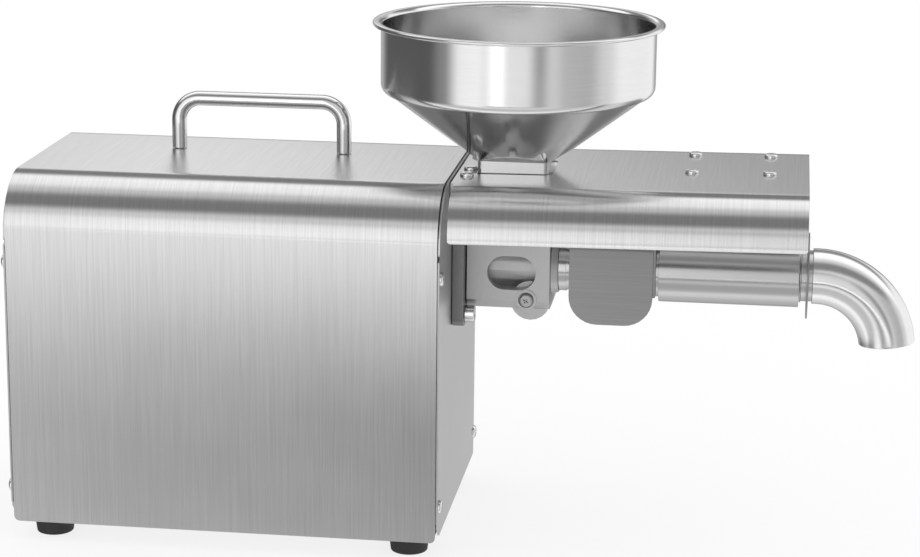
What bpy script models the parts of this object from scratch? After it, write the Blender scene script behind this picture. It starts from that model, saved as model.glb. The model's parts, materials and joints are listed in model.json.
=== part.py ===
"""Screw oil press: a motor casing with a carrying handle drives a horizontal press screw.

Lengths are in metres. X runs from the motor end to the discharge elbow, the front of the
machine faces -Y, and Z points up from the floor under the feet. Places inside the press are
measured along X from the press end of the casing sheet, along Y from the middle plane and
along Z from the top of the feet.
"""

import math

import bmesh
import bpy
from mathutils import Matrix

MM = 0.001

# Driving dimensions of the casing
casing_length = 226 * MM
casing_depth = 150 * MM
casing_height = 187 * MM
left_end = -casing_length
half_depth = casing_depth / 2
casing_bend_radius = 27 * MM
casing_lift = 0.5 * MM
sheet_thickness = 1.0 * MM
sheet_corner_radius = 3 * MM
bend_steps = 7
gap = 0.3 * MM
foot_height = 10.5 * MM
weld_distance = 0.01 * MM
cut_over = 2 * MM
hole_sides = 10
small_sides = 12
middle_sides = 16
boss_sides = 18
round_sides = 20
large_sides = 24
sleeve_sides = 28
saddle_sides = 32
hex_sides = 6
window_steps = 6
corner_steps = 4
few_steps = 3
smooth_angle = 35
crisp_angle = 30
slot_end_share = 0.99

# The press line and the outer ends of the machine
axis_share = 0.7166
axis_height = casing_height * axis_share
hopper_place = 31.7 * MM
motor_end_reach = 5.65 * MM
cover_step = 0.5 * MM
cover_top = casing_height + cover_step

# End plates
plate_thickness = 0.9 * MM
plate_margin = 0.15 * MM
plate_bottom = 2.5 * MM
plate_front_cut = 6 * MM
plate_rear_cut = 1.5 * MM
plate_step_height = 10 * MM
plate_step_depth = 1.3 * MM
plate_fold_drop = 36 * MM
plate_fold_top = casing_height - plate_fold_drop
plate_notch_depth = 3.2 * MM
plate_notch_height = 3 * MM
plate_shoulder_inset = 1.0 * MM
plate_arc_radius = 31 * MM
shaft_hole_radius = 13.5 * MM

# Machine screws with pan heads
pan_head_radius = 3.6 * MM
pan_head_height = 1.6 * MM
pan_dome_shares = ((0, 1), (0.55, 0.87), (0.9, 0.59))
pan_shank_radius = 1.6 * MM
pan_shank_length = 6 * MM
cross_width = 0.9 * MM
cross_length = 4.2 * MM
cross_depth = 1.2 * MM
screw_hole_radius = 2.0 * MM
end_screw_inset = 4.5 * MM
end_screw_drop = 45.5 * MM
end_screw_top = casing_height - end_screw_drop
end_screw_front_low = 19.4 * MM
end_screw_rear_low = 16.5 * MM

# Rubber feet
foot_top_radius = 11 * MM
foot_bottom_radius = 9.7 * MM
foot_recess_radius = 4 * MM
foot_recess_depth = 5 * MM
foot_inset_x = 16.5 * MM
foot_inset_y = 20 * MM
foot_edge = 1.0 * MM

# Base tray
tray_lip = 14 * MM
tray_bend_radius = 2 * MM
tray_end_gap = 1.5 * MM

# Carrying handle
handle_inset = 70.5 * MM
handle_span = 91 * MM
handle_left = left_end + handle_inset
handle_right = handle_left + handle_span
handle_setback = 19 * MM
handle_rod_radius = 4 * MM
handle_bend_radius = 12 * MM
handle_rise = 27.4 * MM
handle_hole_radius = 2.4 * MM
handle_hole_depth = 9 * MM
handle_screw_radius = 2.1 * MM
handle_screw_reach = 8.1 * MM
handle_screw_head_shares = ((1, 0), (1, -0.6), (0.7, -1), (0, -1))
handle_bend_steps = 6
handle_smooth_angle = 50

# Gear train
coarse_module_share = 0.009626
fine_module_share = 0.006417
coarse_module = casing_height * coarse_module_share
fine_module = casing_height * fine_module_share
wheel_teeth = 40
pinion_teeth = 10
tooth_root_share = 1.25
tooth_shares = (("root", -0.31), ("tip", -0.12), ("tip", 0.12), ("root", 0.31))
web_holes = 5
web_hole_place_share = 0.56
web_hole_radius_share = 0.2
output_gear_start = -65 * MM
output_gear_width = 14 * MM
coarse_pinion_start = -66 * MM
coarse_pinion_width = 16 * MM
fine_wheel_start = -42 * MM
fine_wheel_width = 8 * MM
fine_pinion_start = -44 * MM
fine_pinion_width = 12 * MM
shaft_radius = 7.5 * MM
socket_radius = 9 * MM
socket_start = 3 * MM
output_shaft_start = -78.6 * MM
output_shaft_end = 20 * MM
hex_depth = 10.2 * MM
hex_radius = 4.6 * MM
layshaft_radius = 4 * MM
layshaft_start = -78 * MM
layshaft_end = -9 * MM
motor_shaft_radius = 4 * MM
motor_shaft_inset = 31 * MM
motor_shaft_end = -30 * MM

# Shaft heights below the press line, and the room around the gears
layshaft_height = axis_height - coarse_module * (wheel_teeth + pinion_teeth) / 2
motor_height = layshaft_height - fine_module * (wheel_teeth + pinion_teeth) / 2
gear_tip_radius = coarse_module * (wheel_teeth + 2) / 2

# Gearbox
gearbox_side_room = 6.2 * MM
gearbox_top_room = 8.2 * MM
gearbox_foot = 21 * MM
gearbox_left = -72 * MM
gearbox_right = 0
gearbox_wall = 4 * MM
gearbox_end_wall = 14 * MM
gearbox_half_width = gear_tip_radius + gearbox_side_room
gearbox_bottom = motor_height - gearbox_foot
gearbox_top = axis_height + gear_tip_radius + gearbox_top_room
gearbox_corner = 8 * MM
gearbox_cover_thickness = 7.7 * MM
bearing_outer_radius = 14 * MM
bearing_depth = 9.4 * MM
rear_bearing_depth = 6.2 * MM
bearing_groove = 0.8 * MM
bearing_race = 2 * MM
running_gap = 0.3 * MM

# Motor
motor_radius = 30 * MM
motor_wall = 2 * MM
motor_inset = 44 * MM
motor_left = left_end + motor_inset
motor_right = gearbox_left - gearbox_cover_thickness - 2 * gap
motor_end_bevel = 4 * MM
armature_radius = 24 * MM
armature_inset = 18 * MM
armature_left = motor_left + armature_inset
armature_right = motor_right - armature_inset
fan_radius = 27 * MM
fan_hub_radius = 8 * MM
fan_inset = 31.5 * MM
fan_left = left_end + fan_inset
motor_shaft_start = left_end + motor_shaft_inset
fan_width = 9 * MM
fan_blades = 7
fan_blade_thickness = 1.6 * MM
fan_pitch = math.radians(38)
blade_root_share = 0.85
blade_chord_share = 0.85

# Adapter flange and its cap screws
flange_left = 2 * gap + plate_thickness
flange_half = 29 * MM
flange_corner = 5 * MM
flange_thickness = 6.3 * MM
bolt_offset = 22.7 * MM
bolt_head_radius = 4.5 * MM
bolt_head_height = 5 * MM
bolt_shank_radius = 2.4 * MM
bolt_hole_radius = 2.75 * MM
bolt_socket_radius = 2.3 * MM
bolt_socket_depth = 2.6 * MM
bolt_reach = 6 * MM

# Feed block
block_left = 8.4 * MM
block_right = 52.3 * MM
block_half_width = 21.5 * MM
block_drop = 20 * MM
block_headroom = 11.5 * MM
block_bottom = axis_height - block_drop
block_top = cover_top - block_headroom
block_chamfer = 5 * MM
block_window_length = 25.8 * MM
block_window_height = 18.2 * MM
block_window_place = 32.1 * MM
block_tube_radius = 15 * MM
feed_bore_radius = 10.2 * MM
spigot_bore_radius = 12.3 * MM
spigot_start = 36 * MM
nose_end = 55.8 * MM
nose_large_radius = 15.5 * MM
nose_small_radius = 14 * MM
pocket_half = 19.1 * MM
pocket_rise = 26 * MM
pocket_floor = axis_height + pocket_rise
throat_half_x = 11 * MM
throat_half_y = 9 * MM
lug_place = 41.8 * MM
lug_drop = 15.8 * MM
lug_height = axis_height - lug_drop
lug_radius = 10.6 * MM
lug_half_width = 16 * MM
clamp_slit = 1.6 * MM
slit_start = 37.5 * MM
clamp_place = 40.1 * MM
clamp_drop = 14.2 * MM
clamp_height = axis_height - clamp_drop
clamp_boss_radius = 5.6 * MM
clamp_boss_reach = 0.5 * MM
clamp_counterbore_radius = 4.2 * MM
clamp_counterbore_depth = 1.6 * MM
clamp_shank_radius = 1.9 * MM
clamp_hole_radius = 2.15 * MM
clamp_head_radius = 3.6 * MM
clamp_head_height = 3.2 * MM
clamp_edge_share = 0.9
clamp_edge_height_share = 0.8
clamp_tail = 17 * MM
clamp_socket_radius = 1.7 * MM
clamp_socket_depth = 2 * MM

# Press barrel, its screw and the outlet
spigot_radius = 12 * MM
collar_start = 56.1 * MM
collar_end = 60 * MM
collar_radius = 13.1 * MM
cage_end = 105 * MM
cage_radius = 12.6 * MM
barrel_radius = 14.2 * MM
barrel_end = 182.5 * MM
barrel_bore_radius = 9.6 * MM
slot_width = 1.1 * MM
slot_start = 66 * MM
slot_end = 100 * MM
slot_pairs = 5
flight_radius = 9.2 * MM
feed_root_radius = 5.2 * MM
end_root_radius = 7.8 * MM
flight_pitch = 14 * MM
flight_crest = 1.6 * MM
flight_flank = 1.3 * MM
flight_steps = 12
spare_turns = 1.5
tang_start = 10.3 * MM
tang_radius = 4.2 * MM
screw_collar_start = 20.4 * MM
screw_collar_radius = 7.6 * MM
flight_start = 23 * MM
flight_end_inset = 12.5 * MM
flight_end = barrel_end - flight_end_inset
screw_tip_inset = 4.5 * MM
screw_tip = barrel_end - screw_tip_inset
screw_tip_radius = 5 * MM
nozzle_length = 11.4 * MM
nozzle_start = barrel_end + gap
nozzle_end = nozzle_start + nozzle_length
nozzle_radius = 13.5 * MM
nozzle_bore_radius = 7 * MM
nozzle_lip = 0.7 * MM
guard_step = 4.1 * MM
guard_place = nozzle_start + guard_step
guard_radius = 22.7 * MM
guard_thickness = 0.8 * MM

# Discharge elbow
elbow_step = 6.6 * MM
elbow_start = nozzle_start + elbow_step
elbow_straight = 2.2 * MM
elbow_bend_radius = 38.4 * MM
elbow_turn = math.radians(84)
elbow_radius = 14.7 * MM
elbow_wall = 0.9 * MM
elbow_steps = 10
elbow_smooth_angle = 40
elbow_reach = elbow_bend_radius * math.sin(elbow_turn)
elbow_half_width = elbow_radius * math.sin(elbow_turn * (elbow_steps - 0.5) / elbow_steps)
overall_right = elbow_start + elbow_straight + elbow_reach + elbow_half_width

# Oil hood and heater sleeve
hood_left = 62 * MM
hood_right = 106.3 * MM
hood_half_width = 16 * MM
hood_drop = 27.6 * MM
hood_rise = 15.9 * MM
hood_bottom = axis_height - hood_drop
hood_top = axis_height + hood_rise
hood_bend_radius = 4 * MM
hood_corner_radius = 15 * MM
hood_corner_steps = 8
hood_tab_left = 106 * MM
hood_tab_right = 107.6 * MM
hood_tab_drop = 12 * MM
hood_tab_bottom = axis_height - hood_tab_drop
sleeve_left = 109 * MM
sleeve_right = barrel_end
sleeve_radius = 16.8 * MM
sleeve_bore_radius = 14.8 * MM

# Press cover with its hanger, bracket and screws, which all tilt together a little
cover_tilt = math.radians(0.7)
cover_left = 4.5 * MM
cover_overhang = 3 * MM
cover_right = barrel_end + cover_overhang
cover_side = 25.5 * MM
cover_bottom = cover_top - cover_side
cover_bend_radius = 24 * MM
cover_opening_half = 20.5 * MM
cover_screw_columns = (124.5 * MM, 165 * MM)
cover_front_row = -3.5 * MM
cover_rear_row_inset = 31.3 * MM
cover_screw_rows = (cover_front_row, half_depth - cover_rear_row_inset)
bracket_screw_place = 8.4 * MM
bracket_screw_rows = (-25.5 * MM, -9.3 * MM, 25.5 * MM)
hanger_left = 116 * MM
hanger_inset = 9 * MM
hanger_right = barrel_end - hanger_inset
hanger_front = -12 * MM
hanger_rear_inset = 23 * MM
hanger_rear = half_depth - hanger_rear_inset
hanger_thickness = 3 * MM
hanger_web_left = 138 * MM
hanger_web_right = 152 * MM
hanger_web_half = 8 * MM
bracket_left = flange_left
bracket_right = 12.2 * MM
bracket_half_width = 40 * MM
bracket_room = 3 * MM
bracket_bottom = axis_height + flange_half + bracket_room
bracket_thickness = 1.4 * MM

# Hopper
hopper_rim_radius = 76.6 * MM
hopper_rim_rise = 77.1 * MM
hopper_rim_top = cover_top + hopper_rim_rise
hopper_rim_drop = 1.6 * MM
hopper_wall_radius = 72.2 * MM
hopper_wall_rise = 44.5 * MM
hopper_wall_bottom = cover_top + hopper_wall_rise
hopper_shoulder_radius = 68.4 * MM
hopper_shoulder_rise = 39.5 * MM
hopper_shoulder_height = cover_top + hopper_shoulder_rise
hopper_cone_radius = 31 * MM
hopper_cone_rise = 11.1 * MM
hopper_cone_height = cover_top + hopper_cone_rise
hopper_neck_half = 18.75 * MM
hopper_neck_rise = 5.5 * MM
hopper_neck_top = cover_top + hopper_neck_rise
hopper_neck_bottom = pocket_floor + gap
hopper_neck_corner = 2.5 * MM
hopper_sheet = 1.0 * MM
hopper_segments = 40
hopper_smooth_angle = 40
rim_outer_shares = ((0.25, 1), (0, 0.5), (0.35, 0.08), (1, 0))
rim_inner_shares = ((0.3, 0.25), (0, 1))
shoulder_shares = (0.25, 0.6)

# Switches and power inlet on the motor end
switch_drop = 59 * MM
switch_row = casing_height - switch_drop
motor_switch_place = -30 * MM
heater_switch_place = 0
switch_places = ((motor_switch_place, switch_row), (heater_switch_place, switch_row))
switch_half_width = 6.2 * MM
switch_half_height = 9.2 * MM
switch_rim = 1.8 * MM
switch_rim_thickness = 2 * MM
switch_body_depth = 14 * MM
switch_well_half_width = 4.8 * MM
switch_well_half_height = 7.6 * MM
switch_well_depth = 8 * MM
rocker_half_width = 4.4 * MM
rocker_half_height = 7.0 * MM
rocker_reach = 3.4 * MM
rocker_depth = 3.2 * MM
rocker_tilt = math.radians(9)
rocker_sink_share = 0.25
rocker_front_shares = ((-1, 0.55), (0, 0.2), (1, 0.55))
rocker_back_shares = ((0.9, -0.1), (0.3, -1), (-0.3, -1), (-0.9, -0.1))
inlet_inset = 37 * MM
inlet_place = (half_depth - inlet_inset, switch_row)
inlet_half_width = 13.8 * MM
inlet_half_height = 9.8 * MM
inlet_rim = 2.2 * MM
inlet_rim_thickness = 1.5 * MM
inlet_depth = 18 * MM
inlet_well_half_width = 11.8 * MM
inlet_well_half_height = 7.8 * MM
inlet_well_depth = 14 * MM
inlet_chamfer = 4 * MM
pin_half_width = 1.1 * MM
pin_half_height = 2.2 * MM
pin_length = 11 * MM
pin_spacing = 7 * MM
pin_drop = 1.6 * MM
vent_length = 62 * MM
vent_height = 3.6 * MM
vent_pitch = 9 * MM
vent_rows = 6
vent_bottom = 34 * MM


# Turns that lay a flat outline or a turned profile along an axis
FACING = {
    "x": (math.pi / 2, 0, math.pi / 2),
    "y": (math.pi / 2, 0, 0),
    "z": (0, 0, 0),
}
ALONG = {
    "x": (0, math.pi / 2, 0),
    "-x": (0, -math.pi / 2, 0),
    "y": (-math.pi / 2, 0, 0),
    "-y": (math.pi / 2, 0, 0),
    "z": (0, 0, 0),
    "-z": (math.pi, 0, 0),
}

# Looks: colour, roughness and metallic share
STEEL = ((0.62, 0.62, 0.61), 0.34, 1.0)
POLISHED = ((0.78, 0.78, 0.77), 0.15, 1.0)
CAST = ((0.55, 0.55, 0.54), 0.52, 0.9)
DARK_STEEL = ((0.12, 0.12, 0.12), 0.4, 1.0)
MOTOR_GREY = ((0.22, 0.23, 0.24), 0.45, 0.6)
BLACK = ((0.02, 0.02, 0.02), 0.35, 0.0)
RUBBER = ((0.02, 0.02, 0.02), 0.75, 0.0)


def clear_scene():
    for item in list(bpy.data.objects):
        bpy.data.objects.remove(item, do_unlink=True)


def make_collection(name):
    collection = bpy.data.collections.new(name)
    bpy.context.scene.collection.children.link(collection)
    return collection


clear_scene()
PARTS = make_collection("Screw oil press")
CUTTERS = make_collection("Cutters")
datum = bpy.data.objects.new("press_datum", None)
datum.location = ((casing_length + motor_end_reach - overall_right) / 2, 0, foot_height)
PARTS.objects.link(datum)


# Materials and placing

def finish(name, colour, roughness, metallic):
    material = bpy.data.materials.new(name)
    material.use_nodes = True
    shader = material.node_tree.nodes["Principled BSDF"]
    shader.inputs["Base Color"].default_value = (*colour, 1)
    shader.inputs["Roughness"].default_value = roughness
    shader.inputs["Metallic"].default_value = metallic
    return material


def add(item, place=(0, 0, 0), turn=(0, 0, 0), look=None):
    """Link a part under the datum, or a cutter when it has no look."""
    item.parent = datum
    item.location = place
    item.rotation_euler = turn
    if look is None:
        CUTTERS.objects.link(item)
        item.hide_render = True
        item.display_type = "WIRE"
    else:
        PARTS.objects.link(item)
        item.data.materials.append(finish(item.name, *look))
    return item


def shade(item, degrees=smooth_angle):
    item.data.shade_smooth()
    item.data.set_sharp_from_angle(angle=math.radians(degrees))


# Outlines

def arc(centre, radius, start, end, steps):
    angles = [start + (end - start) * step / steps for step in range(steps + 1)]
    return [(centre[0] + radius * math.cos(a), centre[1] + radius * math.sin(a)) for a in angles]


def circle(centre, radius, steps=middle_sides):
    return arc(centre, radius, 0, 2 * math.pi, steps)[:-1]


def rounded_rectangle(centre, half_width, half_height, radius, steps=corner_steps):
    points = []
    for corner, (side_x, side_y) in enumerate(((1, 1), (-1, 1), (-1, -1), (1, -1))):
        hub = (
            centre[0] + side_x * (half_width - radius),
            centre[1] + side_y * (half_height - radius),
        )
        points += arc(hub, radius, corner * math.pi / 2, (corner + 1) * math.pi / 2, steps)
    return points


def rectangle(centre, half_width, half_height):
    x, y = centre
    return [
        (x + half_width, y + half_height),
        (x - half_width, y + half_height),
        (x - half_width, y - half_height),
        (x + half_width, y - half_height),
    ]


def gear_outline(teeth, module, gap_down):
    """Tooth flanks are straight; a tooth or, with gap_down, a gap points down the line of centres."""
    pitch_radius = module * teeth / 2
    radii = {"tip": pitch_radius + module, "root": pitch_radius - module * tooth_root_share}
    step = 2 * math.pi / teeth
    start = -math.pi / 2 + (step / 2 if gap_down else 0)
    points = []
    for tooth in range(teeth):
        middle = start + tooth * step
        for level, share in tooth_shares:
            angle = middle + share * step
            points.append((radii[level] * math.cos(angle), radii[level] * math.sin(angle)))
    return points


# Solids

def flat_plate(name, outlines, thickness, place, facing, look=None):
    """A flat piece with holes; place is the middle of its lower face along the facing axis."""
    curve = bpy.data.curves.new(name, "CURVE")
    curve.dimensions = "2D"
    curve.fill_mode = "BOTH"
    curve.extrude = thickness / 2
    for outline in outlines:
        spline = curve.splines.new("POLY")
        spline.points.add(len(outline) - 1)
        for point, (x, y) in zip(spline.points, outline):
            point.co = (x, y, 0, 1)
        spline.use_cyclic_u = True
    item = bpy.data.objects.new(name, curve)
    lift = {"x": (thickness / 2, 0, 0), "y": (0, thickness / 2, 0), "z": (0, 0, thickness / 2)}
    middle = [base + rise for base, rise in zip(place, lift[facing])]
    return add(item, middle, FACING[facing], look)


def as_mesh(item):
    """Turn a curve, or an object with modifiers, into a welded mesh object of the same name."""
    bpy.context.view_layer.update()
    graph = bpy.context.evaluated_depsgraph_get()
    mesh = bpy.data.meshes.new_from_object(item.evaluated_get(graph))
    work = bmesh.new()
    work.from_mesh(mesh)
    bmesh.ops.remove_doubles(work, verts=work.verts, dist=weld_distance)
    bmesh.ops.recalc_face_normals(work, faces=work.faces)
    work.to_mesh(mesh)
    work.free()
    name = item.name
    home = item.users_collection[0]
    place = item.location.copy()
    turn = item.rotation_euler.copy()
    hidden = item.hide_render
    display = item.display_type
    bpy.data.objects.remove(item, do_unlink=True)
    solid = bpy.data.objects.new(name, mesh)
    mesh.name = name
    home.objects.link(solid)
    solid.parent = datum
    solid.location = place
    solid.rotation_euler = turn
    solid.hide_render = hidden
    solid.display_type = display
    bpy.context.view_layer.update()
    return solid


def turned(name, profile, place, along, look=None, segments=round_sides):
    """Turn a profile of (radius, height) points, outer side from top to bottom, about its axis."""
    mesh = bpy.data.meshes.new(name)
    closed = all(radius > 0 for radius, _ in profile)
    points = [(radius, 0, height) for radius, height in profile]
    edges = [(index, index + 1) for index in range(len(points) - 1)]
    if closed:
        edges.append((len(points) - 1, 0))
    mesh.from_pydata(points, edges, [])
    item = add(bpy.data.objects.new(name, mesh), place, ALONG[along], look)
    screw = item.modifiers.new("Turn", "SCREW")
    screw.axis = "Z"
    screw.steps = segments
    screw.render_steps = segments
    screw.use_merge_vertices = True
    screw.merge_threshold = weld_distance
    return item


def rod(name, radius, start, end, place, along, look=None, segments=round_sides):
    """A cylinder that reaches from start to end along an axis through place."""
    mesh = bpy.data.meshes.new(name)
    work = bmesh.new()
    bmesh.ops.create_cone(
        work, cap_ends=True, segments=segments, radius1=radius, radius2=radius, depth=end - start
    )
    bmesh.ops.translate(work, vec=(0, 0, (start + end) / 2), verts=work.verts)
    work.to_mesh(mesh)
    work.free()
    return add(bpy.data.objects.new(name, mesh), place, ALONG[along], look)


def block(name, low, high, look=None):
    """A box between two corners, standing at its own middle."""
    mesh = bpy.data.meshes.new(name)
    work = bmesh.new()
    bmesh.ops.create_cube(work, size=1)
    size = [top - bottom for bottom, top in zip(low, high)]
    bmesh.ops.scale(work, vec=size, verts=work.verts)
    work.to_mesh(mesh)
    work.free()
    middle = [(top + bottom) / 2 for bottom, top in zip(low, high)]
    return add(bpy.data.objects.new(name, mesh), middle, (0, 0, 0), look)


def bevel_edges(item, chosen, width, segments):
    """Bevel the edges whose two ends, measured from the object's middle, satisfy chosen."""
    work = bmesh.new()
    work.from_mesh(item.data)
    edges = [edge for edge in work.edges if chosen(edge.verts[0].co, edge.verts[1].co)]
    bmesh.ops.bevel(
        work, geom=edges, offset=width, segments=segments, affect="EDGES", profile=0.5
    )
    work.to_mesh(item.data)
    work.free()


def combine(item, other, operation, solver="EXACT"):
    change = item.modifiers.new(operation.title(), "BOOLEAN")
    change.operation = operation
    change.solver = solver
    change.object = other


def cut(item, *others):
    for other in others:
        combine(item, other, "DIFFERENCE")


def join(item, *others):
    for other in others:
        combine(item, other, "UNION")


def folded_sheet(name, profile, start, end, corner_radius, look, steps=corner_steps):
    """Extrude an open profile in Y and Z along X; its first face looks to the front."""
    mesh = bpy.data.meshes.new(name)
    work = bmesh.new()
    points = [work.verts.new((0, y, z)) for y, z in profile]
    edges = [work.edges.new(pair) for pair in zip(points, points[1:])]
    grown = bmesh.ops.extrude_edge_only(work, edges=edges)
    moved = [part for part in grown["geom"] if isinstance(part, bmesh.types.BMVert)]
    bmesh.ops.translate(work, vec=(end - start, 0, 0), verts=moved)
    bmesh.ops.recalc_face_normals(work, faces=work.faces)
    work.normal_update()
    front = min(work.faces, key=lambda face: face.calc_center_median().y)
    if front.normal.y > 0:
        bmesh.ops.reverse_faces(work, faces=work.faces)
    corners = [point for point in work.verts if len(point.link_edges) == 2]
    bmesh.ops.bevel(
        work, geom=corners, offset=corner_radius, segments=steps, affect="VERTICES",
        profile=0.5,
    )
    work.to_mesh(mesh)
    work.free()
    item = add(bpy.data.objects.new(name, mesh), (start, 0, 0), (0, 0, 0), look)
    thicken = item.modifiers.new("Sheet", "SOLIDIFY")
    thicken.thickness = sheet_thickness
    thicken.offset = -1
    thicken.use_even_offset = True
    return item


def arched_profile(half_width, bottom, top, radius, steps):
    left = arc((-half_width + radius, top - radius), radius, math.pi, math.pi / 2, steps)
    right = [(-y, z) for y, z in reversed(left)]
    return [(-half_width, bottom)] + left + right + [(half_width, bottom)]


# Fasteners

def bare_mesh(sample):
    """The finished mesh of a sample fastener, without its object."""
    solid = as_mesh(sample)
    shade(solid, crisp_angle)
    mesh = solid.data
    bpy.data.objects.remove(solid, do_unlink=True)
    return mesh


def pan_screw_mesh():
    profile = [
        (pan_head_radius * out, pan_head_height * up) for out, up in pan_dome_shares
    ]
    profile += [
        (pan_head_radius, 0),
        (pan_shank_radius, 0),
        (pan_shank_radius, -pan_shank_length),
        (0, -pan_shank_length),
    ]
    sample = turned("screw_sample", profile, (0, 0, 0), "z", None, small_sides)
    floor = pan_head_height - cross_depth
    over = pan_head_height + cut_over
    for number, (half_x, half_y) in enumerate(
        ((cross_length / 2, cross_width / 2), (cross_width / 2, cross_length / 2))
    ):
        arm = block(f"cross_{number}", (-half_x, -half_y, floor), (half_x, half_y, over))
        cut(sample, arm)
    return bare_mesh(sample)


def cap_screw_mesh():
    profile = [
        (0, bolt_head_height),
        (bolt_head_radius, bolt_head_height),
        (bolt_head_radius, 0),
        (bolt_shank_radius, 0),
        (bolt_shank_radius, -flange_thickness - bolt_reach),
        (0, -flange_thickness - bolt_reach),
    ]
    sample = turned("bolt_sample", profile, (0, 0, 0), "z", None, middle_sides)
    key = rod(
        "bolt_socket", bolt_socket_radius, bolt_head_height - bolt_socket_depth,
        bolt_head_height + cut_over, (0, 0, 0), "z", None, hex_sides,
    )
    cut(sample, key)
    return bare_mesh(sample)


def fasten(name, mesh, place, along, look):
    """A fastener shares its mesh, so its look is a material slot of the object."""
    item = bpy.data.objects.new(name, mesh)
    if not mesh.materials:
        mesh.materials.append(None)
    item.parent = datum
    item.location = place
    item.rotation_euler = ALONG[along]
    PARTS.objects.link(item)
    item.material_slots[0].link = "OBJECT"
    item.material_slots[0].material = finish(name, *look)
    return item


# Casing

def end_plate_outline():
    """Straight folded sides with a notch above them, then raw-cut shoulders inside the bends."""
    side = half_depth - plate_margin
    low = half_depth - plate_step_depth
    shoulder = half_depth - plate_shoulder_inset
    top = casing_height - plate_shoulder_inset
    notch_middle = plate_fold_top + plate_notch_height / 2
    notch_top = plate_fold_top + plate_notch_height
    half = [
        (low, plate_step_height),
        (side, plate_step_height + plate_step_depth),
        (side, plate_fold_top),
        (side - plate_notch_depth, notch_middle),
        (shoulder, notch_top),
    ]
    half += arc(
        (shoulder - plate_arc_radius, top - plate_arc_radius),
        plate_arc_radius, 0, math.pi / 2, bend_steps,
    )
    mirrored = [(-y, z) for y, z in reversed(half)]
    rear_corner = [
        (low - plate_rear_cut, plate_bottom),
        (low, plate_bottom + plate_rear_cut),
    ]
    front_corner = [
        (-low, plate_bottom + plate_front_cut),
        (-low + plate_front_cut, plate_bottom),
    ]
    return rear_corner + half + mirrored + front_corner


def end_screw_places():
    inset = half_depth - end_screw_inset
    return {
        "front_top": (-inset, end_screw_top),
        "front_low": (-inset, end_screw_front_low),
        "rear_top": (inset, end_screw_top),
        "rear_low": (inset, end_screw_rear_low),
    }


def bolt_places():
    signs = {"front_low": (-1, -1), "rear_low": (1, -1), "front_top": (-1, 1), "rear_top": (1, 1)}
    return {
        name: (side * bolt_offset, axis_height + rise * bolt_offset)
        for name, (side, rise) in signs.items()
    }


def make_casing():
    profile = arched_profile(
        half_depth, casing_lift, casing_height, casing_bend_radius, bend_steps
    )
    shell = folded_sheet(
        "casing_shell", profile, left_end, 0, sheet_corner_radius, STEEL
    )
    for number, x in enumerate((handle_left, handle_right)):
        hole = rod(
            f"handle_hole_{number}", handle_hole_radius, casing_height - casing_bend_radius,
            casing_height + casing_bend_radius, (x, handle_setback, 0), "z", None, small_sides,
        )
        cut(shell, hole)
    inside = half_depth - sheet_thickness - gap
    tray = arched_profile(inside, -tray_lip - gap, -gap, tray_bend_radius, few_steps)
    tray = [(y, -z) for y, z in tray]
    folded_sheet(
        "base_tray", tray, left_end + tray_end_gap, -tray_end_gap,
        sheet_corner_radius, STEEL,
    )


def make_end_plates():
    screws = [circle(place, screw_hole_radius, hole_sides) for place in end_screw_places().values()]
    bolts = [circle(place, bolt_hole_radius, hole_sides) for place in bolt_places().values()]
    shaft = circle((0, axis_height), shaft_hole_radius, large_sides)
    flat_plate(
        "end_plate_press", [end_plate_outline(), shaft] + screws + bolts, plate_thickness,
        (gap, 0, 0), "x", STEEL,
    )
    openings = []
    for place in switch_places:
        openings.append(
            rectangle(place, switch_half_width + gap, switch_half_height + gap)
        )
    openings.append(rectangle(inlet_place, inlet_half_width + gap, inlet_half_height + gap))
    for row in range(vent_rows):
        height = vent_bottom + row * vent_pitch
        openings.append(
            rounded_rectangle(
                (0, height), vent_length / 2, vent_height / 2, vent_height / 2 * slot_end_share, 3
            )
        )
    flat_plate(
        "end_plate_motor", [end_plate_outline()] + screws + openings, plate_thickness,
        (left_end - gap - plate_thickness, 0, 0), "x", STEEL,
    )


def make_end_screws(mesh):
    for corner, (y, z) in end_screw_places().items():
        left = left_end - flange_left
        fasten(f"plate_screw_motor_{corner}", mesh, (left, y, z), "-x", POLISHED)
        fasten(f"plate_screw_press_{corner}", mesh, (flange_left, y, z), "x", POLISHED)


def make_feet():
    profile = [
        (0, 0),
        (foot_top_radius, 0),
        (foot_bottom_radius, -foot_height + foot_edge),
        (foot_bottom_radius - foot_edge, -foot_height),
        (foot_recess_radius, -foot_height),
        (foot_recess_radius, -foot_height + foot_recess_depth),
        (0, -foot_height + foot_recess_depth),
    ]
    for x_name, x in (("left", left_end + foot_inset_x), ("right", -foot_inset_x)):
        for y_name, side in (("front", -1), ("rear", 1)):
            y = side * (half_depth - foot_inset_y)
            foot = turned(
                f"foot_{y_name}_{x_name}", profile, (x, y, 0), "z", RUBBER, 16
            )
            shade(foot)


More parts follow.
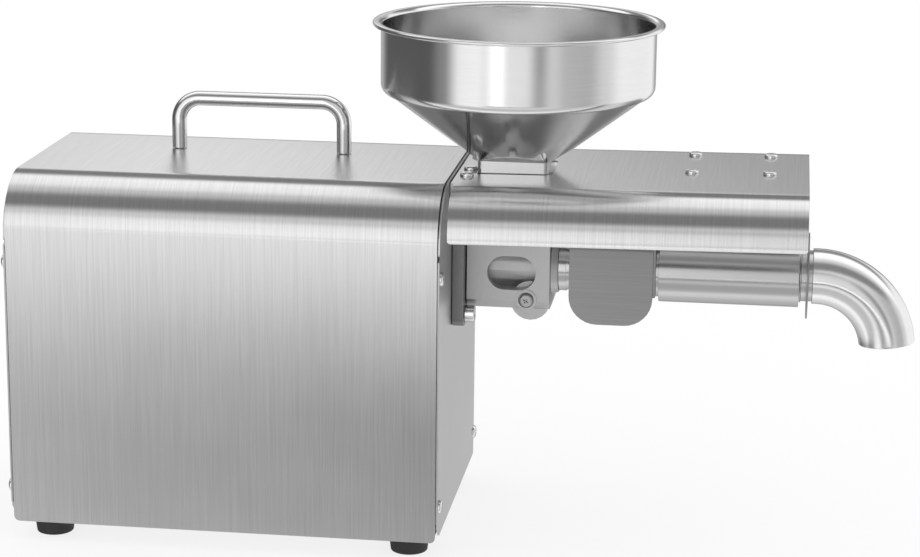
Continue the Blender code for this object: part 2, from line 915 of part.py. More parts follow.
def make_handle():
    bottom = casing_height + gap
    bar = bottom + handle_rise
    inner_left = handle_left + handle_bend_radius
    inner_right = handle_right - handle_bend_radius
    hub_height = bar - handle_bend_radius
    path = [(handle_left, bottom)]
    left_bend = (inner_left, hub_height)
    right_bend = (inner_right, hub_height)
    path += arc(left_bend, handle_bend_radius, math.pi, math.pi / 2, handle_bend_steps)
    path += arc(right_bend, handle_bend_radius, math.pi / 2, 0, handle_bend_steps)
    path.append((handle_right, bottom))
    curve = bpy.data.curves.new("carry_handle", "CURVE")
    curve.dimensions = "3D"
    curve.bevel_depth = handle_rod_radius
    curve.bevel_resolution = 4
    curve.use_fill_caps = True
    spline = curve.splines.new("POLY")
    spline.points.add(len(path) - 1)
    for point, (x, z) in zip(spline.points, path):
        point.co = (x, 0, z, 1)
    handle = as_mesh(
        add(bpy.data.objects.new("carry_handle", curve), (0, handle_setback, 0), (0, 0, 0),
            POLISHED)
    )
    for name, x in (("left", handle_left), ("right", handle_right)):
        under = casing_height - sheet_thickness - gap
        socket = rod(
            f"handle_socket_{name}", handle_hole_radius, casing_height - handle_hole_depth,
            casing_height + handle_hole_depth, (x, handle_setback, 0), "z", None, small_sides,
        )
        cut(handle, socket)
        profile = [
            (0, handle_screw_reach),
            (handle_screw_radius, handle_screw_reach),
            (handle_screw_radius, 0),
        ]
        profile += [
            (pan_head_radius * out, pan_head_height * up)
            for out, up in handle_screw_head_shares
        ]
        screw = turned(
            f"handle_screw_{name}", profile, (x, handle_setback, under), "z",
            STEEL, small_sides,
        )
        shade(screw)
    shade(handle, handle_smooth_angle)


# Drive

def gear_body(name, teeth, module, gap_down, start, width, height, bore=None, look=None):
    outlines = [gear_outline(teeth, module, gap_down)]
    if bore:
        outlines.append(circle((0, 0), bore, round_sides))
        pitch_radius = module * teeth / 2
        reach = pitch_radius * web_hole_place_share
        for index in range(web_holes):
            angle = index * 2 * math.pi / web_holes
            hub = (reach * math.cos(angle), reach * math.sin(angle))
            outlines.append(circle(hub, pitch_radius * web_hole_radius_share, hole_sides))
    return as_mesh(flat_plate(name, outlines, width, (start, 0, height), "x", look))


def make_gear_train():
    gear_body(
        "output_gear", wheel_teeth, coarse_module, True, output_gear_start, output_gear_width,
        axis_height, shaft_radius + gap, DARK_STEEL,
    )
    shaft = turned(
        "output_shaft",
        [
            (0, output_shaft_end),
            (socket_radius, output_shaft_end),
            (socket_radius, socket_start),
            (shaft_radius, socket_start),
            (shaft_radius, output_shaft_start),
            (0, output_shaft_start),
        ],
        (0, 0, axis_height), "x", STEEL, round_sides,
    )
    key = rod(
        "output_hex", hex_radius, output_shaft_end - hex_depth, output_shaft_end + hex_depth,
        (0, 0, axis_height), "x", None, hex_sides,
    )
    cut(shaft, key)
    shade(shaft)
    layshaft = rod(
        "layshaft_gears", layshaft_radius, layshaft_start, layshaft_end,
        (0, 0, layshaft_height), "x", DARK_STEEL, middle_sides,
    )
    wheel = gear_body(
        "fine_wheel", wheel_teeth, fine_module, True, fine_wheel_start, fine_wheel_width,
        layshaft_height,
    )
    pinion = gear_body(
        "coarse_pinion", pinion_teeth, coarse_module, False, coarse_pinion_start,
        coarse_pinion_width, layshaft_height,
    )
    pinion.rotation_euler[0] += math.pi
    join(layshaft, wheel, pinion)
    bearing = [
        (shaft_radius + gap, bearing_depth),
        (shaft_radius + gap + bearing_race, bearing_depth),
        (shaft_radius + gap + bearing_race, bearing_depth - bearing_groove),
        (bearing_outer_radius - bearing_race, bearing_depth - bearing_groove),
        (bearing_outer_radius - bearing_race, bearing_depth),
        (bearing_outer_radius, bearing_depth),
        (bearing_outer_radius, 0),
        (shaft_radius + gap, 0),
    ]
    front = turned(
        "bearing_output", bearing, (gearbox_right - bearing_depth - gap, 0, axis_height), "x",
        POLISHED, boss_sides,
    )
    scale = rear_bearing_depth / bearing_depth
    rear = turned(
        "bearing_rear", [(radius, height * scale) for radius, height in bearing],
        (gearbox_left - gap - rear_bearing_depth, 0, axis_height), "x", POLISHED, boss_sides,
    )
    shade(front)
    shade(rear)


def make_gearbox():
    low = (gearbox_left, -gearbox_half_width, gearbox_bottom)
    high = (gearbox_right, gearbox_half_width, gearbox_top)
    housing = block("gearbox_housing", low, high, CAST)

    def runs_along_x(first, second):
        return abs(first.x - second.x) > gearbox_wall

    bevel_edges(housing, runs_along_x, gearbox_corner, few_steps)
    hollow = block(
        "gearbox_hollow",
        (gearbox_left - gearbox_wall, low[1] + gearbox_wall, low[2] + gearbox_wall),
        (gearbox_right - gearbox_end_wall, high[1] - gearbox_wall, high[2] - gearbox_wall),
    )
    seat = rod(
        "gearbox_seat", bearing_outer_radius + gap, gearbox_right - bearing_depth - 2 * gap,
        gearbox_right + gearbox_wall, (0, 0, axis_height), "x",
    )
    passage = rod(
        "gearbox_passage", shaft_radius + bearing_race, gearbox_left, gearbox_right,
        (0, 0, axis_height), "x",
    )
    journal = rod(
        "gearbox_journal", layshaft_radius + running_gap, gearbox_left, layshaft_end + gap,
        (0, 0, layshaft_height), "x",
    )
    cut(housing, hollow, seat, passage, journal)
    for name, (y, z) in bolt_places().items():
        hole = rod(
            f"gearbox_bolt_{name}", bolt_hole_radius, gearbox_right - bolt_reach,
            gearbox_right + bolt_reach, (0, y, z), "x", None, hole_sides,
        )
        cut(housing, hole)


def make_gearbox_cover():
    middle = (0, (gearbox_top + gearbox_bottom) / 2)
    outline = rounded_rectangle(
        middle, gearbox_half_width, (gearbox_top - gearbox_bottom) / 2, gearbox_corner, 3
    )
    cover = as_mesh(
        flat_plate(
            "gearbox_cover",
            [
                outline,
                circle((0, layshaft_height), layshaft_radius + running_gap),
                circle((0, motor_height), motor_shaft_radius + 4 * running_gap),
            ],
            gearbox_cover_thickness, (gearbox_left - gap - gearbox_cover_thickness, 0, 0), "x",
            CAST,
        )
    )
    rear_seat = rod(
        "cover_seat", bearing_outer_radius + gap,
        gearbox_left - gap - rear_bearing_depth - gap, gearbox_left + gearbox_wall,
        (0, 0, axis_height), "x",
    )
    cut(cover, rear_seat)


def make_motor():
    inner = motor_radius - motor_wall
    bore = motor_shaft_radius + running_gap
    case = turned(
        "motor_housing",
        [
            (bore, motor_right),
            (motor_radius - motor_end_bevel, motor_right),
            (motor_radius, motor_right - motor_end_bevel),
            (motor_radius, motor_left + motor_end_bevel),
            (motor_radius - motor_end_bevel, motor_left),
            (bore, motor_left),
            (bore, motor_left + motor_wall),
            (inner - motor_end_bevel, motor_left + motor_wall),
            (inner, motor_left + motor_end_bevel + motor_wall),
            (inner, motor_right - motor_end_bevel - motor_wall),
            (inner - motor_end_bevel, motor_right - motor_wall),
            (bore, motor_right - motor_wall),
        ],
        (0, 0, motor_height), "x", MOTOR_GREY, round_sides,
    )
    shade(case)
    rotor = turned(
        "motor_rotor",
        [
            (0, motor_shaft_end),
            (motor_shaft_radius, motor_shaft_end),
            (motor_shaft_radius, armature_right),
            (armature_radius, armature_right),
            (armature_radius, armature_left),
            (motor_shaft_radius, armature_left),
            (motor_shaft_radius, motor_shaft_start),
            (0, motor_shaft_start),
        ],
        (0, 0, motor_height), "x", DARK_STEEL, middle_sides,
    )
    pinion = gear_body(
        "fine_pinion", pinion_teeth, fine_module, False, fine_pinion_start, fine_pinion_width,
        motor_height,
    )
    pinion.rotation_euler[0] += math.pi
    join(rotor, pinion)
    make_fan()


def make_fan():
    hub = turned(
        "cooling_fan",
        [
            (motor_shaft_radius + gap, fan_left + fan_width),
            (fan_hub_radius, fan_left + fan_width),
            (fan_hub_radius, fan_left),
            (motor_shaft_radius + gap, fan_left),
        ],
        (0, 0, motor_height), "x", BLACK, round_sides,
    )
    mesh = bpy.data.meshes.new("fan_blades")
    work = bmesh.new()
    root = fan_hub_radius * blade_root_share
    reach = fan_radius - root
    chord = fan_width * blade_chord_share
    for index in range(fan_blades):
        blade = bmesh.ops.create_cube(work, size=1)["verts"]
        bmesh.ops.scale(work, vec=(reach, chord, fan_blade_thickness), verts=blade)
        twist = Matrix.Rotation(fan_pitch, 3, "X")
        bmesh.ops.rotate(work, cent=(0, 0, 0), matrix=twist, verts=blade)
        bmesh.ops.translate(work, vec=(root + reach / 2, 0, 0), verts=blade)
        spread = Matrix.Rotation(index * 2 * math.pi / fan_blades, 3, "Z")
        bmesh.ops.rotate(work, cent=(0, 0, 0), matrix=spread, verts=blade)
    work.to_mesh(mesh)
    work.free()
    blades = add(
        bpy.data.objects.new("fan_blades", mesh),
        (fan_left + fan_width / 2, 0, motor_height), ALONG["x"],
    )
    join(hub, blades)


# Switches and inlet on the motor end

def make_switches():
    face = left_end - gap - plate_thickness
    for name, (y, z) in zip(("motor", "heater"), switch_places):
        body = block(
            f"{name}_switch_body",
            (face, y - switch_half_width, z - switch_half_height),
            (face + switch_body_depth, y + switch_half_width, z + switch_half_height),
            BLACK,
        )
        rim = block(
            f"{name}_switch_rim",
            (
                face - gap - switch_rim_thickness,
                y - switch_half_width - switch_rim,
                z - switch_half_height - switch_rim,
            ),
            (
                face - gap,
                y + switch_half_width + switch_rim,
                z + switch_half_height + switch_rim,
            ),
        )
        neck = block(
            f"{name}_switch_neck",
            (face - gap * 2, y - switch_half_width, z - switch_half_height),
            (face + gap * 2, y + switch_half_width, z + switch_half_height),
        )
        front = face - gap - switch_rim_thickness
        well = block(
            f"{name}_switch_well",
            (front - gap, y - switch_well_half_width, z - switch_well_half_height),
            (front + switch_well_depth, y + switch_well_half_width, z + switch_well_half_height),
        )
        join(body, neck, rim)
        cut(body, well)
        outline = [
            (rocker_half_height * up, rocker_reach * out) for up, out in rocker_front_shares
        ]
        outline += [
            (rocker_half_height * up, rocker_depth * out) for up, out in rocker_back_shares
        ]
        rocker = flat_plate(
            f"{name}_rocker", [outline], 2 * rocker_half_width, (0, 0, 0), "y",
            BLACK,
        )
        rocker.location = (front + rocker_depth * rocker_sink_share, y, z)
        rocker.rotation_euler = (math.pi / 2, -math.pi / 2 - rocker_tilt, 0)


def make_inlet():
    face = left_end - gap - plate_thickness
    y, z = inlet_place
    body = block(
        "power_inlet",
        (face - gap * 2, y - inlet_half_width, z - inlet_half_height),
        (face + inlet_depth, y + inlet_half_width, z + inlet_half_height),
        BLACK,
    )
    front = face - gap - inlet_rim_thickness
    rim = block(
        "inlet_rim",
        (front, y - inlet_half_width - inlet_rim, z - inlet_half_height - inlet_rim),
        (face - gap, y + inlet_half_width + inlet_rim, z + inlet_half_height + inlet_rim),
    )
    join(body, rim)
    well = block(
        "inlet_well",
        (front - gap, y - inlet_well_half_width, z - inlet_well_half_height),
        (front + inlet_well_depth, y + inlet_well_half_width, z + inlet_well_half_height),
    )

    def top_edges(first, second):
        along = abs(first.x - second.x) > inlet_chamfer
        return along and first.z > 0 and second.z > 0

    bevel_edges(well, top_edges, inlet_chamfer, 1)
    cut(body, well)
    floor = front + inlet_well_depth
    for number, (shift, rise) in enumerate(
        ((-pin_spacing, 0.0), (0.0, pin_drop), (pin_spacing, 0.0))
    ):
        pin = block(
            f"inlet_pin_{number}",
            (floor - pin_length, y + shift - pin_half_width, z - pin_drop + rise - pin_half_height),
            (floor + gap, y + shift + pin_half_width, z - pin_drop + rise + pin_half_height),
        )
        join(body, pin)


# Press head

def make_flange(bolt_mesh):
    middle = (0, axis_height)
    outlines = [
        rounded_rectangle(middle, flange_half, flange_half, flange_corner),
        circle(middle, shaft_hole_radius, large_sides),
    ]
    outlines += [circle(place, bolt_hole_radius, hole_sides) for place in bolt_places().values()]
    flat_plate(
        "adapter_flange", outlines, flange_thickness, (flange_left, 0, 0), "x",
        DARK_STEEL,
    )
    for name, (y, z) in bolt_places().items():
        head = flange_left + flange_thickness + gap
        fasten(f"flange_bolt_{name}", bolt_mesh, (head, y, z), "x", STEEL)


def clamp_seat():
    """Distance from the middle plane to the floor of the clamp screw's counterbore."""
    return block_half_width + clamp_boss_reach - clamp_counterbore_depth


def make_feed_block():
    item = block(
        "feed_block",
        (block_left, -block_half_width, block_bottom),
        (block_right, block_half_width, block_top),
        CAST,
    )

    def lower_edges(first, second):
        along = abs(first.x - second.x) > block_chamfer
        return along and first.z < 0 and second.z < 0

    bevel_edges(item, lower_edges, block_chamfer, 1)
    window = as_mesh(
        flat_plate(
            "block_window",
            [
                rounded_rectangle(
                    (block_window_place, axis_height), block_window_length / 2,
                    block_window_height / 2, block_window_height / 2 * slot_end_share, window_steps,
                )
            ],
            4 * block_half_width, (0, -2 * block_half_width, 0), "y",
        )
    )
    window.location.y = 0
    bolt_clearance = [
        rod(
            f"block_relief_{name}", bolt_head_radius + 2 * gap, block_left - gap,
            block_left + bolt_head_height + 2 * gap, (0, y, z), "x", None, small_sides,
        )
        for name, (y, z) in bolt_places().items()
        if z > axis_height
    ]
    tube = turned(
        "block_tube",
        [
            (0, nose_end),
            (nose_small_radius, nose_end),
            (nose_large_radius, block_right - gap),
            (block_tube_radius, block_right - 2 * gap),
            (block_tube_radius, block_left + gap),
            (0, block_left + gap),
        ],
        (0, 0, axis_height), "x",
    )
    lug = rod("block_lug", lug_radius, -lug_half_width, lug_half_width,
              (lug_place, 0, lug_height), "y")
    pocket = block(
        "block_pocket",
        (hopper_place - pocket_half, -pocket_half, pocket_floor),
        (hopper_place + pocket_half, pocket_half, block_top + block_chamfer),
    )
    throat = block(
        "block_throat",
        (hopper_place - throat_half_x, -throat_half_y, axis_height),
        (hopper_place + throat_half_x, throat_half_y, pocket_floor + gap),
    )
    bore = turned(
        "block_bore",
        [
            (0, nose_end + gap),
            (spigot_bore_radius, nose_end + gap),
            (spigot_bore_radius, spigot_start),
            (feed_bore_radius, spigot_start),
            (feed_bore_radius, block_left - gap),
            (0, block_left - gap),
        ],
        (0, 0, axis_height), "x",
    )
    slit = block(
        "block_slit",
        (slit_start, -clamp_slit / 2, lug_height - lug_radius - gap),
        (nose_end + gap, clamp_slit / 2, axis_height - feed_bore_radius),
    )
    boss = rod(
        "clamp_boss", clamp_boss_radius, 0, block_half_width + clamp_boss_reach,
        (clamp_place, 0, clamp_height), "-y", None, boss_sides,
    )
    counterbore = rod(
        "clamp_counterbore", clamp_counterbore_radius, clamp_seat(), 2 * block_half_width,
        (clamp_place, 0, clamp_height), "-y", None, middle_sides,
    )
    hole = rod(
        "clamp_hole", clamp_hole_radius, -2 * block_half_width, 2 * block_half_width,
        (clamp_place, 0, clamp_height), "y", None, small_sides,
    )
    cut(item, pocket, window)
    join(item, tube, lug)
    combine(item, boss, "UNION", "MANIFOLD")
    cut(item, throat, bore)
    for opening in [slit, hole, counterbore] + bolt_clearance:
        combine(item, opening, "DIFFERENCE", "MANIFOLD")
    shade(item, crisp_angle)


def make_clamp_screw():
    seat = (clamp_place, -clamp_seat() - gap, clamp_height)
    clamp = turned(
        "clamp_screw",
        [
            (0, clamp_head_height),
            (clamp_head_radius * clamp_edge_share, clamp_head_height),
            (clamp_head_radius, clamp_head_height * clamp_edge_height_share),
            (clamp_head_radius, 0),
            (clamp_shank_radius, 0),
            (clamp_shank_radius, -clamp_seat() - clamp_tail),
            (0, -clamp_seat() - clamp_tail),
        ],
        seat, "-y", POLISHED, boss_sides,
    )
    key = rod(
        "clamp_socket", clamp_socket_radius, clamp_head_height - clamp_socket_depth,
        clamp_head_height + cut_over, seat, "-y", None, hex_sides,
    )
    cut(clamp, key)
    shade(clamp)


def make_barrel():
    barrel = turned(
        "press_barrel",
        [
            (barrel_bore_radius, barrel_end),
            (barrel_radius, barrel_end),
            (barrel_radius, cage_end),
            (cage_radius, cage_end),
            (cage_radius, collar_end),
            (collar_radius, collar_end),
            (collar_radius, collar_start),
            (spigot_radius, collar_start),
            (spigot_radius, spigot_start + gap),
            (barrel_bore_radius, spigot_start + gap),
        ],
        (0, 0, axis_height), "x", STEEL, large_sides,
    )
    middle = (slot_start + slot_end) / 2
    half = (slot_end - slot_start) / 2
    for index in range(slot_pairs):
        slot = block(
            f"barrel_slot_{index}", (-half, -slot_width / 2, -2 * cage_radius),
            (half, slot_width / 2, 2 * cage_radius),
        )
        slot.location = (middle, 0, axis_height)
        slot.rotation_euler = (index * math.pi / slot_pairs, 0, 0)
        cut(barrel, slot)
    shade(barrel)


def make_outlet():
    nozzle = turned(
        "outlet_nozzle",
        [
            (nozzle_bore_radius, nozzle_end),
            (nozzle_radius, nozzle_end),
            (nozzle_radius, nozzle_start + nozzle_lip),
            (nozzle_radius + nozzle_lip, nozzle_start + nozzle_lip),
            (nozzle_radius + nozzle_lip, nozzle_start),
            (nozzle_bore_radius, nozzle_start),
        ],
        (0, 0, axis_height), "x", POLISHED, large_sides,
    )
    shade(nozzle)
    flat_plate(
        "drip_guard",
        [circle((0, 0), guard_radius, sleeve_sides), circle((0, 0), nozzle_radius + gap, large_sides)],
        guard_thickness, (guard_place - guard_thickness / 2, 0, axis_height), "x",
        STEEL,
    )


def root_radius(height):
    share = (height - flight_start) / (flight_end - flight_start)
    return feed_root_radius + (end_root_radius - feed_root_radius) * min(max(share, 0), 1)


def flight_mesh():
    """A continuous helical flight: four profile points follow the helix, turn after turn."""
    mesh = bpy.data.meshes.new("press_screw_flight")
    work = bmesh.new()
    first = flight_start - flight_pitch * spare_turns
    turns = (flight_end - flight_start) / flight_pitch + 2 * spare_turns
    rows = math.ceil(turns * flight_steps)
    reach = 2 * flight_flank + flight_crest
    grid = []
    for row in range(rows + 1):
        angle = 2 * math.pi * row / flight_steps
        height = first + flight_pitch * row / flight_steps
        root = root_radius(height)
        ring = []
        for radius, along in (
            (root, 0),
            (flight_radius, flight_flank),
            (flight_radius, flight_flank + flight_crest),
            (root, reach),
        ):
            ring.append(
                work.verts.new((radius * math.cos(angle), radius * math.sin(angle), height + along))
            )
        grid.append(ring)
    for lower, upper in zip(grid, grid[1:]):
        for index in range(3):
            work.faces.new((lower[index], upper[index], upper[index + 1], lower[index + 1]))
    for row in range(rows - flight_steps):
        after = row + flight_steps
        work.faces.new((grid[row][3], grid[row + 1][3], grid[after + 1][0], grid[after][0]))
    start_loop = [grid[row][0] for row in range(flight_steps + 1)]
    start_loop += [grid[0][3], grid[0][2], grid[0][1]]
    start_tip = work.verts.new((0, 0, first - flight_crest))
    for one, two in zip(start_loop, start_loop[1:] + start_loop[:1]):
        work.faces.new((start_tip, two, one))
    end_loop = [grid[row][3] for row in range(rows - flight_steps, rows + 1)]
    end_loop += [grid[rows][2], grid[rows][1], grid[rows][0]]
    last = first + flight_pitch * rows / flight_steps + reach
    end_tip = work.verts.new((0, 0, last + flight_crest))
    for one, two in zip(end_loop, end_loop[1:] + end_loop[:1]):
        work.faces.new((end_tip, one, two))
    bmesh.ops.recalc_face_normals(work, faces=work.faces)
    work.to_mesh(mesh)
    work.free()
    return mesh


def make_press_screw():
    screw = add(
        bpy.data.objects.new("press_screw", flight_mesh()), (0, 0, axis_height), ALONG["x"],
        STEEL,
    )
    limit = rod(
        "flight_limit", flight_radius + cut_over, flight_start, flight_end,
        (0, 0, axis_height), "x",
    )
    combine(screw, limit, "INTERSECT")
    tang = rod(
        "screw_tang", tang_radius, tang_start, screw_collar_start + gap, (0, 0, axis_height),
        "x", None, hex_sides,
    )
    collar = rod(
        "screw_collar", screw_collar_radius, screw_collar_start, flight_start + gap,
        (0, 0, axis_height), "x", None, round_sides,
    )
    tip = turned(
        "screw_tip",
        [
            (0, screw_tip),
            (screw_tip_radius, screw_tip),
            (end_root_radius + gap, flight_end - gap),
            (0, flight_end - gap),
        ],
        (0, 0, axis_height), "x", None, round_sides,
    )
    for end in (collar, tang, tip):
        combine(screw, end, "UNION", "MANIFOLD")


def make_elbow():
    start = elbow_start
    bend_start = start + elbow_straight
    path = [(start, 0)]
    path += [
        (bend_start + elbow_bend_radius * math.sin(angle),
         elbow_bend_radius * (math.cos(angle) - 1))
        for angle in (elbow_turn * step / elbow_steps for step in range(elbow_steps + 1))
    ]
    curve = bpy.data.curves.new("discharge_elbow", "CURVE")
    curve.dimensions = "3D"
    curve.bevel_depth = elbow_radius
    curve.bevel_resolution = 8
    spline = curve.splines.new("POLY")
    spline.points.add(len(path) - 1)
    for point, (x, z) in zip(spline.points, path):
        point.co = (x, 0, z, 1)
    elbow = as_mesh(
        add(bpy.data.objects.new("discharge_elbow", curve), (0, 0, axis_height), (0, 0, 0),
            POLISHED)
    )
    wall = elbow.modifiers.new("Wall", "SOLIDIFY")
    wall.thickness = elbow_wall
    wall.offset = -1
    wall.use_even_offset = True
    shade(elbow, elbow_smooth_angle)


# Hood, sleeve and cover

def make_hood():
    profile = arched_profile(hood_half_width, hood_bottom, hood_top, hood_bend_radius, few_steps)
    hood = folded_sheet(
        "oil_hood", profile, hood_left, hood_right, hood_corner_radius, STEEL,
        hood_corner_steps,
    )
    tab = block(
        "hood_tab",
        (hood_tab_left, -hood_half_width + gap, hood_tab_bottom),
        (hood_tab_right, hood_half_width - gap, hood_top - gap),
    )
    bore = rod(
        "hood_tab_bore", sleeve_bore_radius, hood_tab_left - gap, hood_tab_right + gap,
        (0, 0, axis_height), "x",
    )
    join(hood, tab)
    cut(hood, bore)


def make_sleeve():
    sleeve = turned(
        "heater_sleeve",
        [
            (sleeve_bore_radius, sleeve_right),
            (sleeve_radius, sleeve_right),
            (sleeve_radius, sleeve_left),
            (sleeve_bore_radius, sleeve_left),
        ],
        (0, 0, axis_height), "x", POLISHED, sleeve_sides,
    )
    shade(sleeve)


def tilt_cover(items):
    """Turn the cover and everything screwed to it about the middle of its sheet."""
    pivot = bpy.data.objects.new("cover_seat", None)
    pivot.parent = datum
    pivot.location = ((cover_left + cover_right) / 2, 0, cover_top)
    pivot.rotation_euler = (0, -cover_tilt, 0)
    PARTS.objects.link(pivot)
    for item in items:
        item.parent = pivot
        item.location -= pivot.location


def make_cover(pan_mesh):
    under = cover_top - sheet_thickness - gap
    profile = arched_profile(half_depth, cover_bottom, cover_top, cover_bend_radius, bend_steps)
    cover = folded_sheet(
        "press_cover", profile, cover_left, cover_right, sheet_thickness, STEEL
    )
    opening = block(
        "cover_opening",
        (hopper_place - cover_opening_half, -cover_opening_half, under - gap),
        (hopper_place + cover_opening_half, cover_opening_half, cover_top + gap),
    )
    cut(cover, opening)
    hanger = block(
        "cover_hanger",
        (hanger_left, hanger_front, under - hanger_thickness),
        (hanger_right, hanger_rear, under),
        STEEL,
    )
    web = block(
        "hanger_web",
        (hanger_web_left, -hanger_web_half, axis_height),
        (hanger_web_right, hanger_web_half, under - gap),
    )
    saddle = rod(
        "hanger_saddle", sleeve_radius + gap, hanger_left, hanger_right,
        (0, 0, axis_height), "x", None, saddle_sides,
    )
    join(hanger, web)
    cut(hanger, saddle)
    bracket = block(
        "cover_bracket",
        (bracket_left, -bracket_half_width, under - bracket_thickness),
        (bracket_right, bracket_half_width, under),
        STEEL,
    )
    leg = block(
        "bracket_leg",
        (bracket_left, -bracket_half_width, bracket_bottom),
        (bracket_left + bracket_thickness, bracket_half_width, under - bracket_thickness / 2),
    )
    join(bracket, leg)
    top = cover_top + gap
    tilted = [cover, opening, hanger, bracket, leg]
    for column, x in zip(("left", "right"), cover_screw_columns):
        for row, y in zip(("front", "rear"), cover_screw_rows):
            name = f"cover_screw_{row}_{column}"
            tilted.append(fasten(name, pan_mesh, (x, y, top), "z", POLISHED))
            hole = rod(
                f"cover_hole_{row}_{column}", screw_hole_radius, under - 2 * hanger_thickness,
                top + gap, (x, y, 0), "z", None, hole_sides,
            )
            cut(cover, hole)
            cut(hanger, hole)
            tilted.append(hole)
    for number, y in enumerate(bracket_screw_rows, start=1):
        place = (bracket_screw_place, y, top)
        screw = fasten(f"bracket_screw_{number}", pan_mesh, place, "z", POLISHED)
        hole = rod(
            f"bracket_hole_{number}", screw_hole_radius, under - 2 * hanger_thickness,
            top + gap, (bracket_screw_place, y, 0), "z", None, hole_sides,
        )
        cut(cover, hole)
        cut(bracket, hole)
        tilted += [screw, hole]
    tilt_cover(tilted)


# Hopper

def square_ring(half, corner, height, segments):
    """Points of a rounded square, met by rays at equal angles."""
    points = []
    for index in range(segments):
        angle = 2 * math.pi * (index + 0.5) / segments
        x, y = math.cos(angle), math.sin(angle)
        reach = half / max(abs(x), abs(y))
        flat_x, flat_y = abs(x * reach), abs(y * reach)
        limit = half - corner
        if min(flat_x, flat_y) > limit:
            across = abs(x) + abs(y)
            middle = limit * across
            reach = middle + math.sqrt(middle ** 2 - 2 * limit ** 2 + corner ** 2)
        points.append((x * reach, y * reach, height))
    return points


def round_ring(radius, height, segments):
    points = []
    for index in range(segments):
        angle = 2 * math.pi * (index + 0.5) / segments
        points.append((radius * math.cos(angle), radius * math.sin(angle), height))
    return points


def make_hopper():
    segments = hopper_segments
    rim = hopper_rim_radius - hopper_sheet
    wall = hopper_wall_radius
    top = hopper_rim_top - hopper_sheet
    drop = hopper_rim_drop
    shoulder_drop = hopper_wall_bottom - hopper_shoulder_height
    shoulder_step = wall - hopper_shoulder_radius
    shoulder_in, shoulder_down = shoulder_shares
    rounds = [(rim - drop * inward, top - drop * down) for inward, down in rim_outer_shares]
    rounds += [(wall + drop * out, top - drop * down) for out, down in rim_inner_shares]
    rounds += [
        (wall, hopper_wall_bottom),
        (wall - shoulder_step * shoulder_in, hopper_wall_bottom - shoulder_drop * shoulder_down),
        (hopper_shoulder_radius, hopper_shoulder_height),
        (hopper_cone_radius, hopper_cone_height),
    ]
    rings = [round_ring(radius, height, segments) for radius, height in rounds]
    rings.append(square_ring(hopper_neck_half, hopper_neck_corner, hopper_neck_top, segments))
    rings.append(square_ring(hopper_neck_half, hopper_neck_corner, hopper_neck_bottom, segments))
    mesh = bpy.data.meshes.new("hopper")
    work = bmesh.new()
    rows = [[work.verts.new(point) for point in ring] for ring in rings]
    for upper, lower in zip(rows, rows[1:]):
        for index in range(segments):
            after = (index + 1) % segments
            work.faces.new((upper[index], lower[index], lower[after], upper[after]))
    work.to_mesh(mesh)
    work.free()
    hopper = add(
        bpy.data.objects.new("hopper", mesh), (hopper_place, 0, 0), (0, 0, 0),
        POLISHED,
    )
    sheet = hopper.modifiers.new("Sheet", "SOLIDIFY")
    sheet.thickness = hopper_sheet
    sheet.offset = -1
    sheet.use_even_offset = True
    shade(hopper, hopper_smooth_angle)


def make_press():
    pan_mesh = pan_screw_mesh()
    bolt_mesh = cap_screw_mesh()
    make_casing()
    make_end_plates()
    make_end_screws(pan_mesh)
    make_feet()
    make_handle()
    make_gear_train()
    make_gearbox()
    make_gearbox_cover()
    make_motor()
    make_switches()
    make_inlet()
    make_flange(bolt_mesh)
    make_feed_block()
    make_clamp_screw()
    make_barrel()
    make_outlet()
    make_press_screw()
    make_elbow()
    make_hood()
    make_sleeve()
    make_cover(pan_mesh)
    make_hopper()


make_press()
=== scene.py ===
"""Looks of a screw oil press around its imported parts: sheet steel, polished steel and rubber.

Lengths are in metres. X runs from the motor end to the discharge elbow, the front of the
machine faces -Y and Z points up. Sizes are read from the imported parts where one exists.
"""

import json
import math

import bmesh
import bpy
from mathutils import Matrix, Vector


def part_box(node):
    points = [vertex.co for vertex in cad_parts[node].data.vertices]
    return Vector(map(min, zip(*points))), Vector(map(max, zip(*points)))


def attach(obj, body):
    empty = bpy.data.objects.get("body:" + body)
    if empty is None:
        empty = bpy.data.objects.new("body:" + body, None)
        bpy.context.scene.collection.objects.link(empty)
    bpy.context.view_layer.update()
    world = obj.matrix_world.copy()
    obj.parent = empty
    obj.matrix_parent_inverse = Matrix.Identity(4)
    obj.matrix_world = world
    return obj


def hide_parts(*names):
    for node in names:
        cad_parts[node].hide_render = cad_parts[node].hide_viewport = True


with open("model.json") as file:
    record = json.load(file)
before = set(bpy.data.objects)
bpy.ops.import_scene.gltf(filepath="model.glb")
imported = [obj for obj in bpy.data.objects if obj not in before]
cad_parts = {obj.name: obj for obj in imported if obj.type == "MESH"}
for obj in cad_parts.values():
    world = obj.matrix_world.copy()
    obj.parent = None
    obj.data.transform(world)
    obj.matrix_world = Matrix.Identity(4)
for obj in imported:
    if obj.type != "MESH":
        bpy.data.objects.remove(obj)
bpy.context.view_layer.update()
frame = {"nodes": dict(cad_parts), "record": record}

MM = 0.001

nodes = frame["nodes"]
body_of_node = {
    node: body
    for body, members in frame["record"]["behaviour"]["bodies"].items()
    for node in members
}
slot_of_node = {row["node"]: row["material_slot"] for row in frame["record"]["subparts"]}

# Values that all pieces share
WELD = 0.01 * MM
SHEET = 1.0 * MM
EDGE = 0.22 * MM
DRILL_RUN = 10 * MM
SHARP = math.radians(32)
NEARLY_FLAT = math.radians(0.5)
TURNED_CORNER = math.radians(40)
TUBE_CORNER = math.radians(50)
ROD_CORNER = math.radians(60)
SHADING_WEIGHT = 60
# A face looks one way where this much of its normal does
FACING_SHARE = 0.9


# Operators on one piece at a time

def deselect():
    if bpy.context.object and bpy.context.object.mode != "OBJECT":
        bpy.ops.object.mode_set(mode="OBJECT")
    bpy.ops.object.select_all(action="DESELECT")


def pick(piece):
    deselect()
    piece.select_set(True)
    bpy.context.view_layer.objects.active = piece


